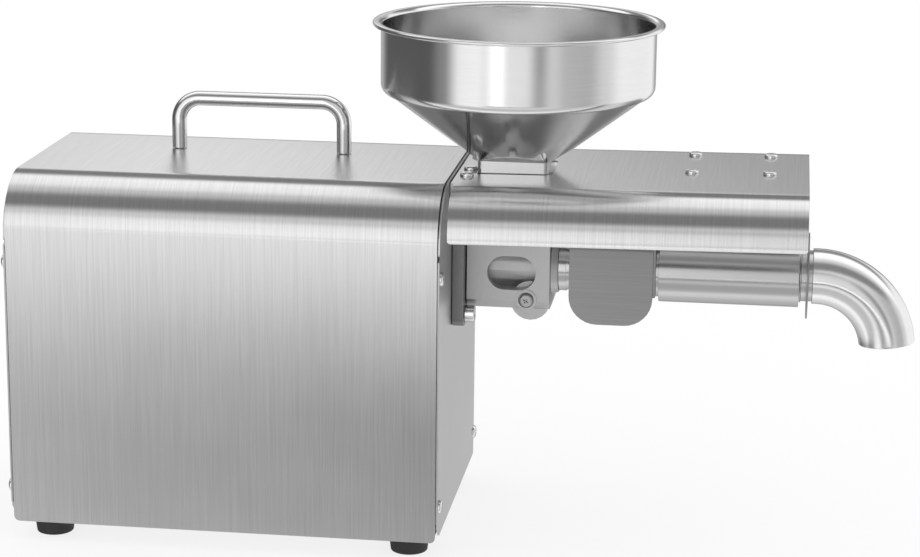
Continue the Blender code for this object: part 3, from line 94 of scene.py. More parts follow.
def settle(piece):
    """Move a piece's place, turn and scale into its mesh."""
    pick(piece)
    bpy.ops.object.transform_apply(location=True, rotation=True, scale=True)


def name_new(name):
    piece = bpy.context.object
    piece.name = name
    piece.data.name = name
    settle(piece)
    return piece


def edit_all(piece):
    pick(piece)
    bpy.ops.object.mode_set(mode="EDIT")
    bpy.ops.mesh.select_mode(type="VERT")
    bpy.ops.mesh.select_all(action="SELECT")


def leave_edit():
    bpy.ops.object.mode_set(mode="OBJECT")


def select_by(piece, kind, wanted):
    """Select the vertices, edges or faces of an edited piece that satisfy wanted."""
    bpy.ops.mesh.select_all(action="DESELECT")
    bpy.ops.mesh.select_mode(type=kind)
    work = bmesh.from_edit_mesh(piece.data)
    parts = {"VERT": work.verts, "EDGE": work.edges, "FACE": work.faces}[kind]
    for part in parts:
        if wanted(part):
            part.select = True
    work.select_flush_mode()
    bmesh.update_edit_mesh(piece.data)


def faces_down(face):
    return face.normal.z < -FACING_SHARE


def stands_upright(edge):
    first, second = edge.verts
    return abs(first.co.z - second.co.z) > WELD


def apply_modifier(piece, modifier):
    pick(piece)
    bpy.ops.object.modifier_apply(modifier=modifier.name)


def bevel(piece, width=EDGE, segments=2, angle=SHARP):
    change = piece.modifiers.new("Soft edges", "BEVEL")
    change.width = width
    change.segments = segments
    change.limit_method = "ANGLE"
    change.angle_limit = angle
    change.use_clamp_overlap = True
    change.harden_normals = False
    apply_modifier(piece, change)


def wall(piece, thickness=SHEET):
    """Give a sheet its thickness, inwards from its outer face."""
    change = piece.modifiers.new("Wall", "SOLIDIFY")
    change.thickness = thickness
    change.offset = -1
    change.use_even_offset = True
    apply_modifier(piece, change)


def cut_with(piece, cutter):
    change = piece.modifiers.new("Cut", "BOOLEAN")
    change.operation = "DIFFERENCE"
    change.solver = "EXACT"
    change.object = cutter
    apply_modifier(piece, change)
    bpy.data.objects.remove(cutter, do_unlink=True)


def outwards(piece):
    edit_all(piece)
    bpy.ops.mesh.remove_doubles(threshold=WELD)
    bpy.ops.mesh.select_all(action="SELECT")
    bpy.ops.mesh.normals_make_consistent(inside=False)
    leave_edit()


def smooth(piece, angle=SHARP):
    """Smooth rounds, with the flat faces kept flat up to their edges."""
    pick(piece)
    bpy.ops.object.shade_smooth_by_angle(angle=angle)
    change = piece.modifiers.new("Even shading", "WEIGHTED_NORMAL")
    change.keep_sharp = True
    change.weight = SHADING_WEIGHT
    apply_modifier(piece, change)


def stands_for(piece, node):
    """The piece takes the place and the body of a CAD node, which is hidden."""
    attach(piece, body_of_node[node])
    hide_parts(node)
    return piece


def finish_with(piece, material):
    piece.data.materials.clear()
    piece.data.materials.append(material)
    return piece


def copy_of(node, name, soft):
    """A merged copy of a CAD node, with softened edges and smooth rounds."""
    piece = nodes[node].copy()
    piece.data = nodes[node].data.copy()
    piece.parent = None
    for key in list(piece.keys()):
        if key.startswith("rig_"):
            del piece[key]
    piece.name = name
    piece.data.name = name
    bpy.context.scene.collection.objects.link(piece)
    outwards(piece)
    edit_all(piece)
    bpy.ops.mesh.dissolve_limited(angle_limit=NEARLY_FLAT)
    leave_edit()
    if soft:
        bevel(piece, soft)
    smooth(piece)
    return stands_for(piece, node)


def box_middle(node):
    low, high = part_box(node)
    return (low + high) / 2


def members_of(start):
    return [node for node in nodes if node.startswith(start)]


# Round forms about an axis: its direction, and the turn that lays a circle across it
AXES = {
    "x": (Vector((1, 0, 0)), (0, math.pi / 2, 0)),
    "z": (Vector((0, 0, 1)), (0, 0, 0)),
}


def rings(name, axis, centre, steps, sides, closed=False):
    """Draw a circle and extrude it ring by ring through (radius, place along the axis).

    The last ring of a closed profile is joined to its first.
    """
    direction, turn = AXES[axis]
    radius, along = steps[0]
    base = Vector(centre)
    base -= direction * base.dot(direction)
    deselect()
    bpy.ops.mesh.primitive_circle_add(
        vertices=sides, radius=radius, location=base + direction * along, rotation=turn
    )
    piece = name_new(name)
    edit_all(piece)
    for (before, start), (after, end) in zip(steps, steps[1:]):
        bpy.ops.mesh.extrude_region_move(
            TRANSFORM_OT_translate={"value": direction * (end - start)}
        )
        factor = after / before
        scale = [1.0 if part else factor for part in direction]
        bpy.ops.transform.resize(value=scale, center_override=base + direction * end)
    if closed:
        select_by(piece, "EDGE", lambda edge: edge.is_boundary)
        bpy.ops.mesh.bridge_edge_loops()
    leave_edit()
    outwards(piece)
    return piece


def drill(piece, axis, centre, radius, sides=48):
    """Cut a round hole along an axis through a piece."""
    deselect()
    bpy.ops.mesh.primitive_cylinder_add(
        vertices=sides, radius=radius, depth=DRILL_RUN, location=centre, rotation=AXES[axis][1]
    )
    cut_with(piece, name_new("drill"))


# Procedural finishes: a noise scale is its number of waves to the metre

NOISE_DETAIL = 3.0
SOFT_DETAIL = 2.0
NOISE_ROUGHNESS = 0.55
# Most of a noise lies between these two values
NOISE_LOW = 0.3
NOISE_HIGH = 0.7

GRAIN_FINE = 2100.0
GRAIN_COARSE = 420.0
GRAIN_LONG = 22.0
GRAIN_COARSE_LONG = 8.8
CLOUD = 16.0
FINE_SHARES = (0.93, 1.05)
COARSE_SHARES = (0.993, 1.005)
CLOUD_SHARES = (0.985, 1.01)
BRUSHED_HAZE = 0.01
BRUSHED_DEPTH = 0.002 * MM
BRUSHED_SPREAD_SHARE = 0.9

HAZE = 22.0
LINE_SHARES = (0.975, 1.015)
HAZE_ROUGHNESS_SHARES = (0.85, 1.2)
POLISHED_DEPTH = 0.0015 * MM

PITS = 2600.0
BLASTED_CLOUD = 60.0
PIT_SHARES = (0.86, 1.1)
BLASTED_CLOUD_SHARES = (0.94, 1.04)
BLASTED_SMOOTHER = 0.04
BLASTED_ROUGHER = 0.05
PIT_DEPTH = 0.02 * MM

WEAR = 90.0
SKIN_SHARES = (0.9, 1.1)
WEAR_SHARES = (0.85, 1.15)
WEAR_SMOOTHER = 0.05
WEAR_ROUGHER = 0.08


def grey(level):
    return (level, level, level)


def even(scale):
    return (scale, scale, scale)


def new_material(name, colour, roughness, metallic):
    material = bpy.data.materials.new(name)
    material.use_nodes = True
    tree = material.node_tree
    shader = tree.nodes["Principled BSDF"]
    shader.inputs["Base Color"].default_value = (*colour, 1)
    shader.inputs["Roughness"].default_value = roughness
    shader.inputs["Metallic"].default_value = metallic
    return material, tree, shader


def stretched_noise(tree, scale, detail=NOISE_DETAIL):
    """Noise in object space whose grain is drawn out where the scale is small."""
    place = tree.nodes.new("ShaderNodeTexCoord")
    mapping = tree.nodes.new("ShaderNodeMapping")
    mapping.inputs["Scale"].default_value = scale
    noise = tree.nodes.new("ShaderNodeTexNoise")
    noise.inputs["Scale"].default_value = 1.0
    noise.inputs["Detail"].default_value = detail
    noise.inputs["Roughness"].default_value = NOISE_ROUGHNESS
    tree.links.new(place.outputs["Object"], mapping.inputs["Vector"])
    tree.links.new(mapping.outputs["Vector"], noise.inputs["Vector"])
    return noise.outputs["Fac"]


def spread(tree, source, low, high):
    """Map the middle of a noise to a range of values."""
    change = tree.nodes.new("ShaderNodeMapRange")
    change.inputs["From Min"].default_value = NOISE_LOW
    change.inputs["From Max"].default_value = NOISE_HIGH
    change.inputs["To Min"].default_value = low
    change.inputs["To Max"].default_value = high
    tree.links.new(source, change.inputs["Value"])
    return change.outputs["Result"]


def tinted(tree, shader, colour, *shares):
    """Base colour times the product of the shares."""
    total = shares[0]
    for share in shares[1:]:
        times = tree.nodes.new("ShaderNodeMath")
        times.operation = "MULTIPLY"
        tree.links.new(total, times.inputs[0])
        tree.links.new(share, times.inputs[1])
        total = times.outputs["Value"]
    scale = tree.nodes.new("ShaderNodeVectorMath")
    scale.operation = "SCALE"
    scale.inputs[0].default_value = colour
    tree.links.new(total, scale.inputs["Scale"])
    tree.links.new(scale.outputs["Vector"], shader.inputs["Base Color"])


def roughened(tree, shader, source, low, high):
    tree.links.new(spread(tree, source, low, high), shader.inputs["Roughness"])


def bumped(tree, shader, source, distance):
    bump = tree.nodes.new("ShaderNodeBump")
    bump.inputs["Strength"].default_value = 1.0
    bump.inputs["Distance"].default_value = distance
    tree.links.new(source, bump.inputs["Height"])
    tree.links.new(bump.outputs["Normal"], shader.inputs["Normal"])


def along_surface(tree, shader, direction):
    """Lay the tangent of the brushing along an axis of the piece."""
    axis = tree.nodes.new("ShaderNodeCombineXYZ")
    for socket, part in zip(axis.inputs, direction):
        socket.default_value = part
    turn = tree.nodes.new("ShaderNodeVectorTransform")
    turn.vector_type = "VECTOR"
    turn.convert_from = "OBJECT"
    turn.convert_to = "WORLD"
    tree.links.new(axis.outputs["Vector"], turn.inputs["Vector"])
    tree.links.new(turn.outputs["Vector"], shader.inputs["Tangent"])


def brushed_steel(name, across, level, roughness):
    """Sheet brushed in one direction; across is the axis that the grain lines are stacked on."""
    material, tree, shader = new_material(name, grey(level), roughness, 1.0)
    fine_scale = [GRAIN_FINE if part else GRAIN_LONG for part in across]
    coarse_scale = [GRAIN_COARSE if part else GRAIN_COARSE_LONG for part in across]
    fine = stretched_noise(tree, fine_scale)
    coarse = stretched_noise(tree, coarse_scale, SOFT_DETAIL)
    cloud = stretched_noise(tree, even(CLOUD), SOFT_DETAIL)
    tinted(
        tree, shader, grey(level),
        spread(tree, fine, *FINE_SHARES), spread(tree, coarse, *COARSE_SHARES),
        spread(tree, cloud, *CLOUD_SHARES),
    )
    roughened(tree, shader, cloud, roughness - BRUSHED_HAZE, roughness + BRUSHED_HAZE)
    bumped(tree, shader, fine, BRUSHED_DEPTH)
    shader.inputs["Anisotropic"].default_value = BRUSHED_SPREAD_SHARE
    along_surface(tree, shader, across)
    return material


def polished_steel(name, level, roughness, grain, haze_share=0.985):
    """Bright steel with faint polishing lines and a trace of haze."""
    material, tree, shader = new_material(name, grey(level), roughness, 1.0)
    lines = stretched_noise(tree, grain)
    haze = stretched_noise(tree, even(HAZE))
    tinted(
        tree, shader, grey(level),
        spread(tree, lines, *LINE_SHARES), spread(tree, haze, haze_share, 1.0),
    )
    low, high = HAZE_ROUGHNESS_SHARES
    roughened(tree, shader, haze, roughness * low, roughness * high)
    bumped(tree, shader, lines, POLISHED_DEPTH)
    return material


def turned_steel(name, across, level, roughness, grain, haze_share, spread_share):
    """Polished steel whose turning lines also spread its reflections."""
    material = polished_steel(name, level, roughness, grain, haze_share)
    tree = material.node_tree
    shader = tree.nodes["Principled BSDF"]
    shader.inputs["Anisotropic"].default_value = spread_share
    along_surface(tree, shader, across)
    return material


def blasted_steel(name, level, roughness):
    """Bead-blasted or cast metal: even, matt, with fine pits."""
    material, tree, shader = new_material(name, grey(level), roughness, 1.0)
    pits = stretched_noise(tree, even(PITS), SOFT_DETAIL)
    cloud = stretched_noise(tree, even(BLASTED_CLOUD))
    tinted(
        tree, shader, grey(level),
        spread(tree, pits, *PIT_SHARES), spread(tree, cloud, *BLASTED_CLOUD_SHARES),
    )
    roughened(tree, shader, cloud, roughness - BLASTED_SMOOTHER, roughness + BLASTED_ROUGHER)
    bumped(tree, shader, pits, PIT_DEPTH)
    return material


def moulded(name, colour, roughness, grain, depth, metallic=0.0):
    """Rubber, plastic or painted surfaces with a fine moulded grain."""
    material, tree, shader = new_material(name, colour, roughness, metallic)
    skin = stretched_noise(tree, even(grain))
    worn = stretched_noise(tree, even(WEAR))
    tinted(
        tree, shader, colour,
        spread(tree, skin, *SKIN_SHARES), spread(tree, worn, *WEAR_SHARES),
    )
    roughened(tree, shader, worn, roughness - WEAR_SMOOTHER, roughness + WEAR_ROUGHER)
    bumped(tree, shader, skin, depth)
    return material


# Each finish: the axis across its lines, its grey level, its roughness and its grain
ACROSS_X = (1.0, 0.0, 0.0)
ACROSS_Y = (0.0, 1.0, 0.0)
ACROSS_Z = (0.0, 0.0, 1.0)

casing_steel = brushed_steel("casing_steel", ACROSS_X, 0.61, 0.23)
cover_steel = brushed_steel("cover_steel", ACROSS_X, 0.61, 0.22)
plate_steel = brushed_steel("plate_steel", ACROSS_Y, 0.52, 0.30)
# The hood's low grey level is painted shade: it darkens the hood, and the drip guard that shares
# this finish, as if shaded by the press cover. Its grain and roughness are the sheet's own.
hood_steel_painted_shade = brushed_steel("hood_steel_painted_shade", ACROSS_Z, 0.31, 0.38)
spun_steel = turned_steel("spun_steel", ACROSS_Z, 0.74, 0.16, (60.0, 60.0, 1800.0), 0.98, 0.7)
cone_steel = polished_steel("cone_steel", 0.84, 0.1, (40.0, 40.0, 1500.0))
neck_steel = polished_steel("neck_steel", 0.6, 0.16, (900.0, 900.0, 30.0))
bright_steel = polished_steel("bright_steel", 0.78, 0.08, (30.0, 900.0, 900.0))
rod_steel = polished_steel("rod_steel", 0.74, 0.16, (900.0, 60.0, 900.0))
elbow_steel = polished_steel("elbow_steel", 0.76, 0.17, (500.0, 60.0, 500.0))
sleeve_steel = polished_steel("sleeve_steel", 0.51, 0.2, (20.0, 1100.0, 1100.0))
screw_steel = polished_steel("screw_steel", 0.76, 0.14, (700.0, 700.0, 700.0))
gear_steel = polished_steel("gear_steel", 0.30, 0.32, (300.0, 900.0, 900.0))
blasted = blasted_steel("blasted_block", 0.50, 0.46)
satin_steel = blasted_steel("satin_flange", 0.25, 0.36)
cast_metal = blasted_steel("cast_housing", 0.50, 0.5)
motor_paint = moulded("motor_paint", (0.14, 0.15, 0.16), 0.42, 700.0, 0.01 * MM, 0.3)
rubber = moulded("foot_rubber", grey(0.022), 0.62, 1500.0, 0.02 * MM)
plastic = moulded("switch_plastic", (0.022, 0.022, 0.024), 0.34, 2200.0, 0.006 * MM)
fan_plastic = moulded("fan_plastic", grey(0.05), 0.5, 900.0, 0.01 * MM)

slot_finishes = {
    "brushed_stainless": plate_steel,
    "polished_stainless": bright_steel,
    "stainless_fasteners": screw_steel,
    "bead_blasted_steel": blasted,
    "satin_steel": satin_steel,
    "gear_steel": gear_steel,
    "cast_aluminium": cast_metal,
    "motor_grey": motor_paint,
    "black_rubber": rubber,
    "black_plastic": plastic,
    "fan_plastic": fan_plastic,
}

for node, part in nodes.items():
    finish_with(part, slot_finishes[slot_of_node[node]])
for node in ("casing_shell", "base_tray"):
    finish_with(nodes[node], casing_steel)


# Light

# Brightness of the studio by angle over the machine: 0 is the front, 90 is overhead, 180 the back
UPRIGHT = (
    (-180, 0.4), (-160, 0.42), (-140, 0.55), (-115, 0.8), (-76, 1.25), (-60, 0.7), (-38, 0.65),
    (-28, 1.15), (-22.5, 0.75), (-19, 0.18), (-16.8, 0.1), (-14.8, 0.75), (-12.8, 2.2),
    (-11.4, 2.1), (-10.2, 1.45), (-8.4, 1.45), (-6.5, 2.1), (-2, 2.2), (14, 2.0), (29, 1.0),
    (46, 0.27), (64, 0.27), (82, 0.8), (100, 1.35), (122, 1.5), (134, 0.3), (152, 0.25),
    (159, 1.35), (167, 1.4), (171, 0.6), (180, 0.4),
)
# Brightness near the horizon by direction: 0 is the front, 90 the right, -90 the left
AROUND = (
    (-180, 0.5), (-155, 0.5), (-132, 0.12), (-74, 0.11), (-58, 0.3), (-42, 1.15), (-28, 1.2),
    (-12, 0.6), (4, 0.46), (20, 0.6), (34, 0.8), (48, 0.6), (66, 0.56), (84, 0.85),
    (102, 1.15), (150, 1.1), (180, 0.5),
)
RAMP_TOP = 2.4
# Where the studio changes, as pairs of x (right), y (back) or z (up) of a unit direction
SIDEWAYS = (0.2, 0.42)
NEAR_HORIZON = (0.32, 0.55)
BACK_DEPTH = (0.86, 0.95)
BACK_RIGHT = (-0.26, 0.04)
BACK_ABOVE = (-0.08, 0.06)
BACK_SHADE = 0.6
FRONT_DEPTH = (0.82, 0.92)
FRONT_RIGHT = (-0.17, -0.03)
FRONT_ABOVE = (-0.2, -0.165)
FRONT_SHADE = 0.58


def make_world():
    """White to the eye and to matt surfaces; gloss sees soft boxes with darker gaps between."""
    world = bpy.data.worlds.new("studio")
    bpy.context.scene.world = world
    world.use_nodes = True
    tree = world.node_tree
    tree.nodes.clear()

    def node(kind, **values):
        made = tree.nodes.new(kind)
        for key, value in values.items():
            setattr(made, key, value)
        return made

    def maths(operation, *values):
        made = node("ShaderNodeMath", operation=operation)
        for socket, value in zip(made.inputs, values):
            if isinstance(value, float):
                socket.default_value = value
            else:
                tree.links.new(value, socket)
        return made.outputs["Value"]

    def change(source, start, end, low=0.0, high=1.0):
        """Go softly from low to high while the source goes from start to end."""
        made = node("ShaderNodeMapRange", interpolation_type="SMOOTHSTEP")
        made.inputs["From Min"].default_value = start
        made.inputs["From Max"].default_value = end
        made.inputs["To Min"].default_value = low
        made.inputs["To Max"].default_value = high
        tree.links.new(source, made.inputs["Value"])
        return made.outputs["Result"]

    def brightness(angle, stops):
        """Brightness at an angle, given in radians by a node, from stops in degrees."""
        share = maths("MULTIPLY_ADD", angle, 1.0 / (2.0 * math.pi), 0.5)
        made = node("ShaderNodeValToRGB")
        made.color_ramp.interpolation = "EASE"
        elements = made.color_ramp.elements
        while len(elements) < len(stops):
            elements.new(0.5)
        for element, (degrees, level) in zip(elements, stops):
            element.position = 0.5 + degrees / 360.0
            element.color = (*grey(level / RAMP_TOP), 1)
        tree.links.new(share, made.inputs["Fac"])
        return made.outputs["Color"]

    def shade(depth, right, above, strength):
        """One minus the strength of a soft dark patch at one end of the studio."""
        part = maths("MULTIPLY", change(*depth), change(*above))
        return maths("SUBTRACT", 1.0, maths("MULTIPLY", part, change(*right, 0.0, strength)))

    def background(strength):
        made = node("ShaderNodeBackground")
        made.inputs["Color"].default_value = (1, 1, 1, 1)
        made.inputs["Strength"].default_value = strength
        return made

    place = node("ShaderNodeTexCoord")
    split = node("ShaderNodeSeparateXYZ")
    tree.links.new(place.outputs["Generated"], split.inputs["Vector"])
    x, y, z = split.outputs
    ahead = maths("MULTIPLY", y, -1.0)

    sideways = change(maths("ABSOLUTE", x), *SIDEWAYS)
    level = change(maths("ABSOLUTE", z), *NEAR_HORIZON, 1.0, 0.0)
    blend = node("ShaderNodeMix", data_type="RGBA")
    tree.links.new(maths("MULTIPLY", sideways, level), blend.inputs["Factor"])
    tree.links.new(brightness(maths("ARCTAN2", z, ahead), UPRIGHT), blend.inputs["A"])
    tree.links.new(brightness(maths("ARCTAN2", x, ahead), AROUND), blend.inputs["B"])

    back = shade((y, *BACK_DEPTH), (x, *BACK_RIGHT), (z, *BACK_ABOVE), BACK_SHADE)
    front = shade((ahead, *FRONT_DEPTH), (x, *FRONT_RIGHT), (z, *FRONT_ABOVE), FRONT_SHADE)
    dimmer = node("ShaderNodeVectorMath", operation="SCALE")
    tree.links.new(blend.outputs["Result"], dimmer.inputs[0])
    tree.links.new(maths("MULTIPLY", back, front), dimmer.inputs["Scale"])

    plain = background(1.0)
    studio = background(RAMP_TOP)
    tree.links.new(dimmer.outputs["Vector"], studio.inputs["Color"])
    rays = node("ShaderNodeLightPath")
    mix = node("ShaderNodeMixShader")
    output = node("ShaderNodeOutputWorld")
    tree.links.new(rays.outputs["Is Glossy Ray"], mix.inputs["Fac"])
    tree.links.new(plain.outputs["Background"], mix.inputs[1])
    tree.links.new(studio.outputs["Background"], mix.inputs[2])
    tree.links.new(mix.outputs["Shader"], output.inputs["Surface"])


# Floor and camera

FLOOR_SIZE = 24.0
# How much of the floor is plain white to the camera; the rest carries the shadow
FLOOR_BRIGHT_SHARE = 0.8

# Place from the casing's low corner, fitted to the photograph with the lens
CAMERA_SIDE = 396.8 * MM
CAMERA_BACK = 1225.7 * MM
CAMERA_HEIGHT = 463.8 * MM
CAMERA_YAW = math.radians(-7.393)
CAMERA_PITCH = math.radians(-14.072)
CAMERA_ROLL = math.radians(0.605)
CAMERA_LENS = 98.44
SENSOR_WIDTH = 36.0
CAMERA_NEAR = 0.05
CAMERA_FAR = 100.0


def make_floor():
    deselect()
    bpy.ops.mesh.primitive_plane_add(size=FLOOR_SIZE, location=(0, 0, 0))
    floor = name_new("studio_floor")
    floor.visible_glossy = False
    material, tree, shader = new_material("floor_white", grey(1.0), 1.0, 0.0)
    shader.inputs["Specular IOR Level"].default_value = 0.0
    bright = tree.nodes.new("ShaderNodeEmission")
    bright.inputs["Color"].default_value = (1, 1, 1, 1)
    bright.inputs["Strength"].default_value = 1.0
    rays = tree.nodes.new("ShaderNodeLightPath")
    share = tree.nodes.new("ShaderNodeMath")
    share.operation = "MULTIPLY"
    share.inputs[1].default_value = FLOOR_BRIGHT_SHARE
    mix = tree.nodes.new("ShaderNodeMixShader")
    output = tree.nodes["Material Output"]
    tree.links.new(rays.outputs["Is Camera Ray"], share.inputs[0])
    tree.links.new(share.outputs["Value"], mix.inputs["Fac"])
    tree.links.new(shader.outputs["BSDF"], mix.inputs[1])
    tree.links.new(bright.outputs["Emission"], mix.inputs[2])
    tree.links.new(mix.outputs["Shader"], output.inputs["Surface"])
    finish_with(floor, material)


def make_camera():
    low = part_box("casing_shell")[0]
    place = Vector((low.x + CAMERA_SIDE, low.y - CAMERA_BACK, CAMERA_HEIGHT))
    ahead = Vector((
        math.sin(CAMERA_YAW) * math.cos(CAMERA_PITCH),
        math.cos(CAMERA_YAW) * math.cos(CAMERA_PITCH),
        math.sin(CAMERA_PITCH),
    ))
    level = Vector((math.cos(CAMERA_YAW), -math.sin(CAMERA_YAW), 0))
    above = level.cross(ahead)
    right = level * math.cos(CAMERA_ROLL) + above * math.sin(CAMERA_ROLL)
    up = above * math.cos(CAMERA_ROLL) - level * math.sin(CAMERA_ROLL)
    data = bpy.data.cameras.new("photo_camera")
    data.lens = CAMERA_LENS
    data.sensor_width = SENSOR_WIDTH
    data.clip_start = CAMERA_NEAR
    data.clip_end = CAMERA_FAR
    camera = bpy.data.objects.new("photo_camera", data)
    matrix = Matrix((right, up, -ahead)).transposed().to_4x4()
    matrix.translation = place
    camera.matrix_world = matrix
    bpy.context.scene.collection.objects.link(camera)
    bpy.context.scene.camera = camera


make_world()
make_floor()
make_camera()
bpy.context.scene.view_settings.view_transform = "Standard"


# Folded sheets: lengths as in the solids, worked out from the photograph

CORNER_STEPS = 8
CASING_BEND = 27 * MM
CASING_STEPS = 28
CASING_CORNER = 3 * MM
HANDLE_HOLE = 2.3 * MM
HANDLE_HOLE_SIDES = 24
COVER_LEFT = -1.8 * MM
COVER_RIGHT = 179.2 * MM
COVER_TOP = 198.0 * MM
COVER_DEPTH = 25.5 * MM
COVER_PIVOT = 88.7 * MM
COVER_TILT = math.radians(0.7)
COVER_BEND = 24 * MM
COVER_STEPS = 26
COVER_CORNER = 2 * MM
COVER_OPENING = 20.5 * MM
COVER_OPENING_ROUND = 4 * MM
COVER_OPENING_STEPS = 6
HOOD_BEND = 4 * MM
HOOD_STEPS = 10
HOOD_CORNER = 15 * MM
HOOD_TAB = 1.3 * MM
HOOD_TAB_LAP = 0.4 * MM
HOOD_TAB_DROP = 12 * MM
HOOD_BORE = 14.4 * MM


def arched_sheet(name, low, high, radius, steps, corner):
    """An upside-down channel of sheet: a box without ends and bottom, its upper edges bent."""
    deselect()
    bpy.ops.mesh.primitive_cube_add(size=1, location=(low + high) / 2, scale=high - low)
    piece = name_new(name)
    edit_all(piece)
    select_by(piece, "FACE", lambda face: abs(face.normal.x) > FACING_SHARE or faces_down(face))
    bpy.ops.mesh.delete(type="FACE")
    select_by(
        piece, "EDGE",
        lambda edge: all(abs(point.co.z - high.z) < WELD for point in edge.verts)
        and abs(edge.verts[0].co.x - edge.verts[1].co.x) > WELD,
    )
    bpy.ops.mesh.bevel(offset=radius, segments=steps, affect="EDGES")
    select_by(piece, "VERT", lambda point: point.co.z < low.z + WELD)
    bpy.ops.mesh.bevel(offset=corner, segments=CORNER_STEPS, affect="VERTICES")
    leave_edit()
    wall(piece)
    return piece


def make_casing():
    low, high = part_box("casing_shell")
    piece = arched_sheet("casing_sheet", low, high, CASING_BEND, CASING_STEPS, CASING_CORNER)
    for screw_node in ("handle_screw_left", "handle_screw_right"):
        middle = box_middle(screw_node)
        drill(piece, "z", (middle.x, middle.y, high.z), HANDLE_HOLE, HANDLE_HOLE_SIDES)
    bevel(piece)
    smooth(piece)
    finish_with(stands_for(piece, "casing_shell"), casing_steel)


def tilt_with_cover(piece):
    """Lean a level piece with the cover, whose discharge end stands a little higher."""
    pivot = Vector((COVER_PIVOT, 0, COVER_TOP))
    piece.matrix_world = (
        Matrix.Translation(pivot)
        @ Matrix.Rotation(-COVER_TILT, 4, "Y")
        @ Matrix.Translation(-pivot)
    )
    settle(piece)


def make_cover():
    box_low, box_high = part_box("press_cover")
    low = Vector((COVER_LEFT, box_low.y, COVER_TOP - COVER_DEPTH))
    high = Vector((COVER_RIGHT, box_high.y, COVER_TOP))
    piece = arched_sheet("cover_sheet", low, high, COVER_BEND, COVER_STEPS, COVER_CORNER)
    deselect()
    bpy.ops.mesh.primitive_cube_add(
        size=2 * COVER_OPENING, location=(box_middle("hopper").x, 0, COVER_TOP)
    )
    cutter = name_new("cover_opening")
    edit_all(cutter)
    select_by(cutter, "EDGE", stands_upright)
    bpy.ops.mesh.bevel(
        offset=COVER_OPENING_ROUND, segments=COVER_OPENING_STEPS, affect="EDGES"
    )
    leave_edit()
    cut_with(piece, cutter)
    bevel(piece)
    smooth(piece)
    tilt_with_cover(piece)
    finish_with(stands_for(piece, "press_cover"), cover_steel)


def make_hood():
    """The drip hood: a small folded sheet with rounded flaps and a tab on the sleeve's end."""
    low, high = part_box("oil_hood")
    sheet_high = Vector((high.x - HOOD_TAB, high.y, high.z))
    piece = arched_sheet("hood_sheet", low, sheet_high, HOOD_BEND, HOOD_STEPS, HOOD_CORNER)
    bevel(piece)
    axis = box_middle("heater_sleeve")
    deselect()
    tab_low = Vector((sheet_high.x - HOOD_TAB_LAP, low.y + SHEET, axis.z - HOOD_TAB_DROP))
    tab_high = Vector((high.x, high.y - SHEET, high.z - SHEET))
    bpy.ops.mesh.primitive_cube_add(
        size=1, location=(tab_low + tab_high) / 2, scale=tab_high - tab_low
    )
    tab = name_new("hood_tab")
    drill(tab, "x", (high.x, axis.y, axis.z), HOOD_BORE)
    bevel(tab)
    pick(piece)
    tab.select_set(True)
    bpy.ops.object.join()
    smooth(piece)
    finish_with(stands_for(piece, "oil_hood"), hood_steel_painted_shade)


make_casing()
make_cover()
make_hood()


# Hopper: its profile, out from its centre line

HOPPER_MIDDLE = Vector((box_middle("hopper").x, 0, 0))
HOPPER_SIDES = 96
HOPPER_SHARP = math.radians(24)
FLARE_STEPS = 8
LIP_STEPS = 6
THROAT_STEPS = 5
SHOULDER_STEPS = 10
BOWL = 72.2 * MM
SHOULDER_TOP = 242.5 * MM
SHOULDER = 68.4 * MM
SHOULDER_LOW = 237.5 * MM
SHOULDER_INSIDE_RISE = 0.2 * MM
CREASE_IN = 0.25 * MM
CREASE_DOWN = 0.1 * MM
CONE = 31.0 * MM
CONE_LOW = 209.1 * MM
CONE_SEAM = 0.3 * MM
NECK = 18.75 * MM
NECK_CORNER = 2.5 * MM
NECK_CORNER_STEPS = 23
NECK_TOP = 203.5 * MM
NECK_CHAMFER = 0.4 * MM
FLARE_DEPTH = 2.6 * MM
FLARE_INSIDE = 1.7 * MM
FLARE_OUTSIDE = 1.5 * MM
LIP_ROUND = 1.1 * MM
LIP_ROUND_DEPTH = 1.0 * MM
LIP_DEPTH = 1.15 * MM
# The curl under the lip: inwards from the rim, down from the top
LIP_CURL = (
    (0.12 * MM, 1.6 * MM), (0.5 * MM, 2.0 * MM), (0.95 * MM, 2.0 * MM), (1.25 * MM, 1.6 * MM),
    (1.7 * MM, LIP_DEPTH),
)


def quarter(start, end, steps, level_first):
    """Points on a quarter of an ellipse between two points of a profile."""
    (r0, z0), (r1, z1) = start, end
    points = []
    for step in range(steps + 1):
        angle = math.pi / 2 * step / steps
        out, down = 1 - math.cos(angle), math.sin(angle)
        if level_first:
            out, down = down, out
        points.append((r0 + (r1 - r0) * out, z0 + (z1 - z0) * down))
    return points


def square_neck(name, half, corner, low, high):
    """A tube of rounded square section, open at both ends."""
    middle = HOPPER_MIDDLE
    deselect()
    bpy.ops.mesh.primitive_cube_add(
        size=1, location=(middle.x, middle.y, (low + high) / 2),
        scale=(2 * half, 2 * half, high - low),
    )
    piece = name_new(name)
    edit_all(piece)
    select_by(piece, "FACE", lambda face: abs(face.normal.z) > FACING_SHARE)
    bpy.ops.mesh.delete(type="FACE")
    select_by(piece, "EDGE", stands_upright)
    bpy.ops.mesh.bevel(offset=corner, segments=NECK_CORNER_STEPS, affect="EDGES")
    leave_edit()
    return piece


def bridge_rings(piece, *places):
    """Join two open rings of a piece, each given by its height and its least and most radius."""
    def on_ring(edge):
        return edge.is_boundary and any(
            all(
                abs(point.co.z - height) < WELD
                and least < math.hypot(point.co.x - HOPPER_MIDDLE.x, point.co.y) < most
                for point in edge.verts
            )
            for height, least, most in places
        )

    select_by(piece, "EDGE", on_ring)
    bpy.ops.mesh.bridge_edge_loops()


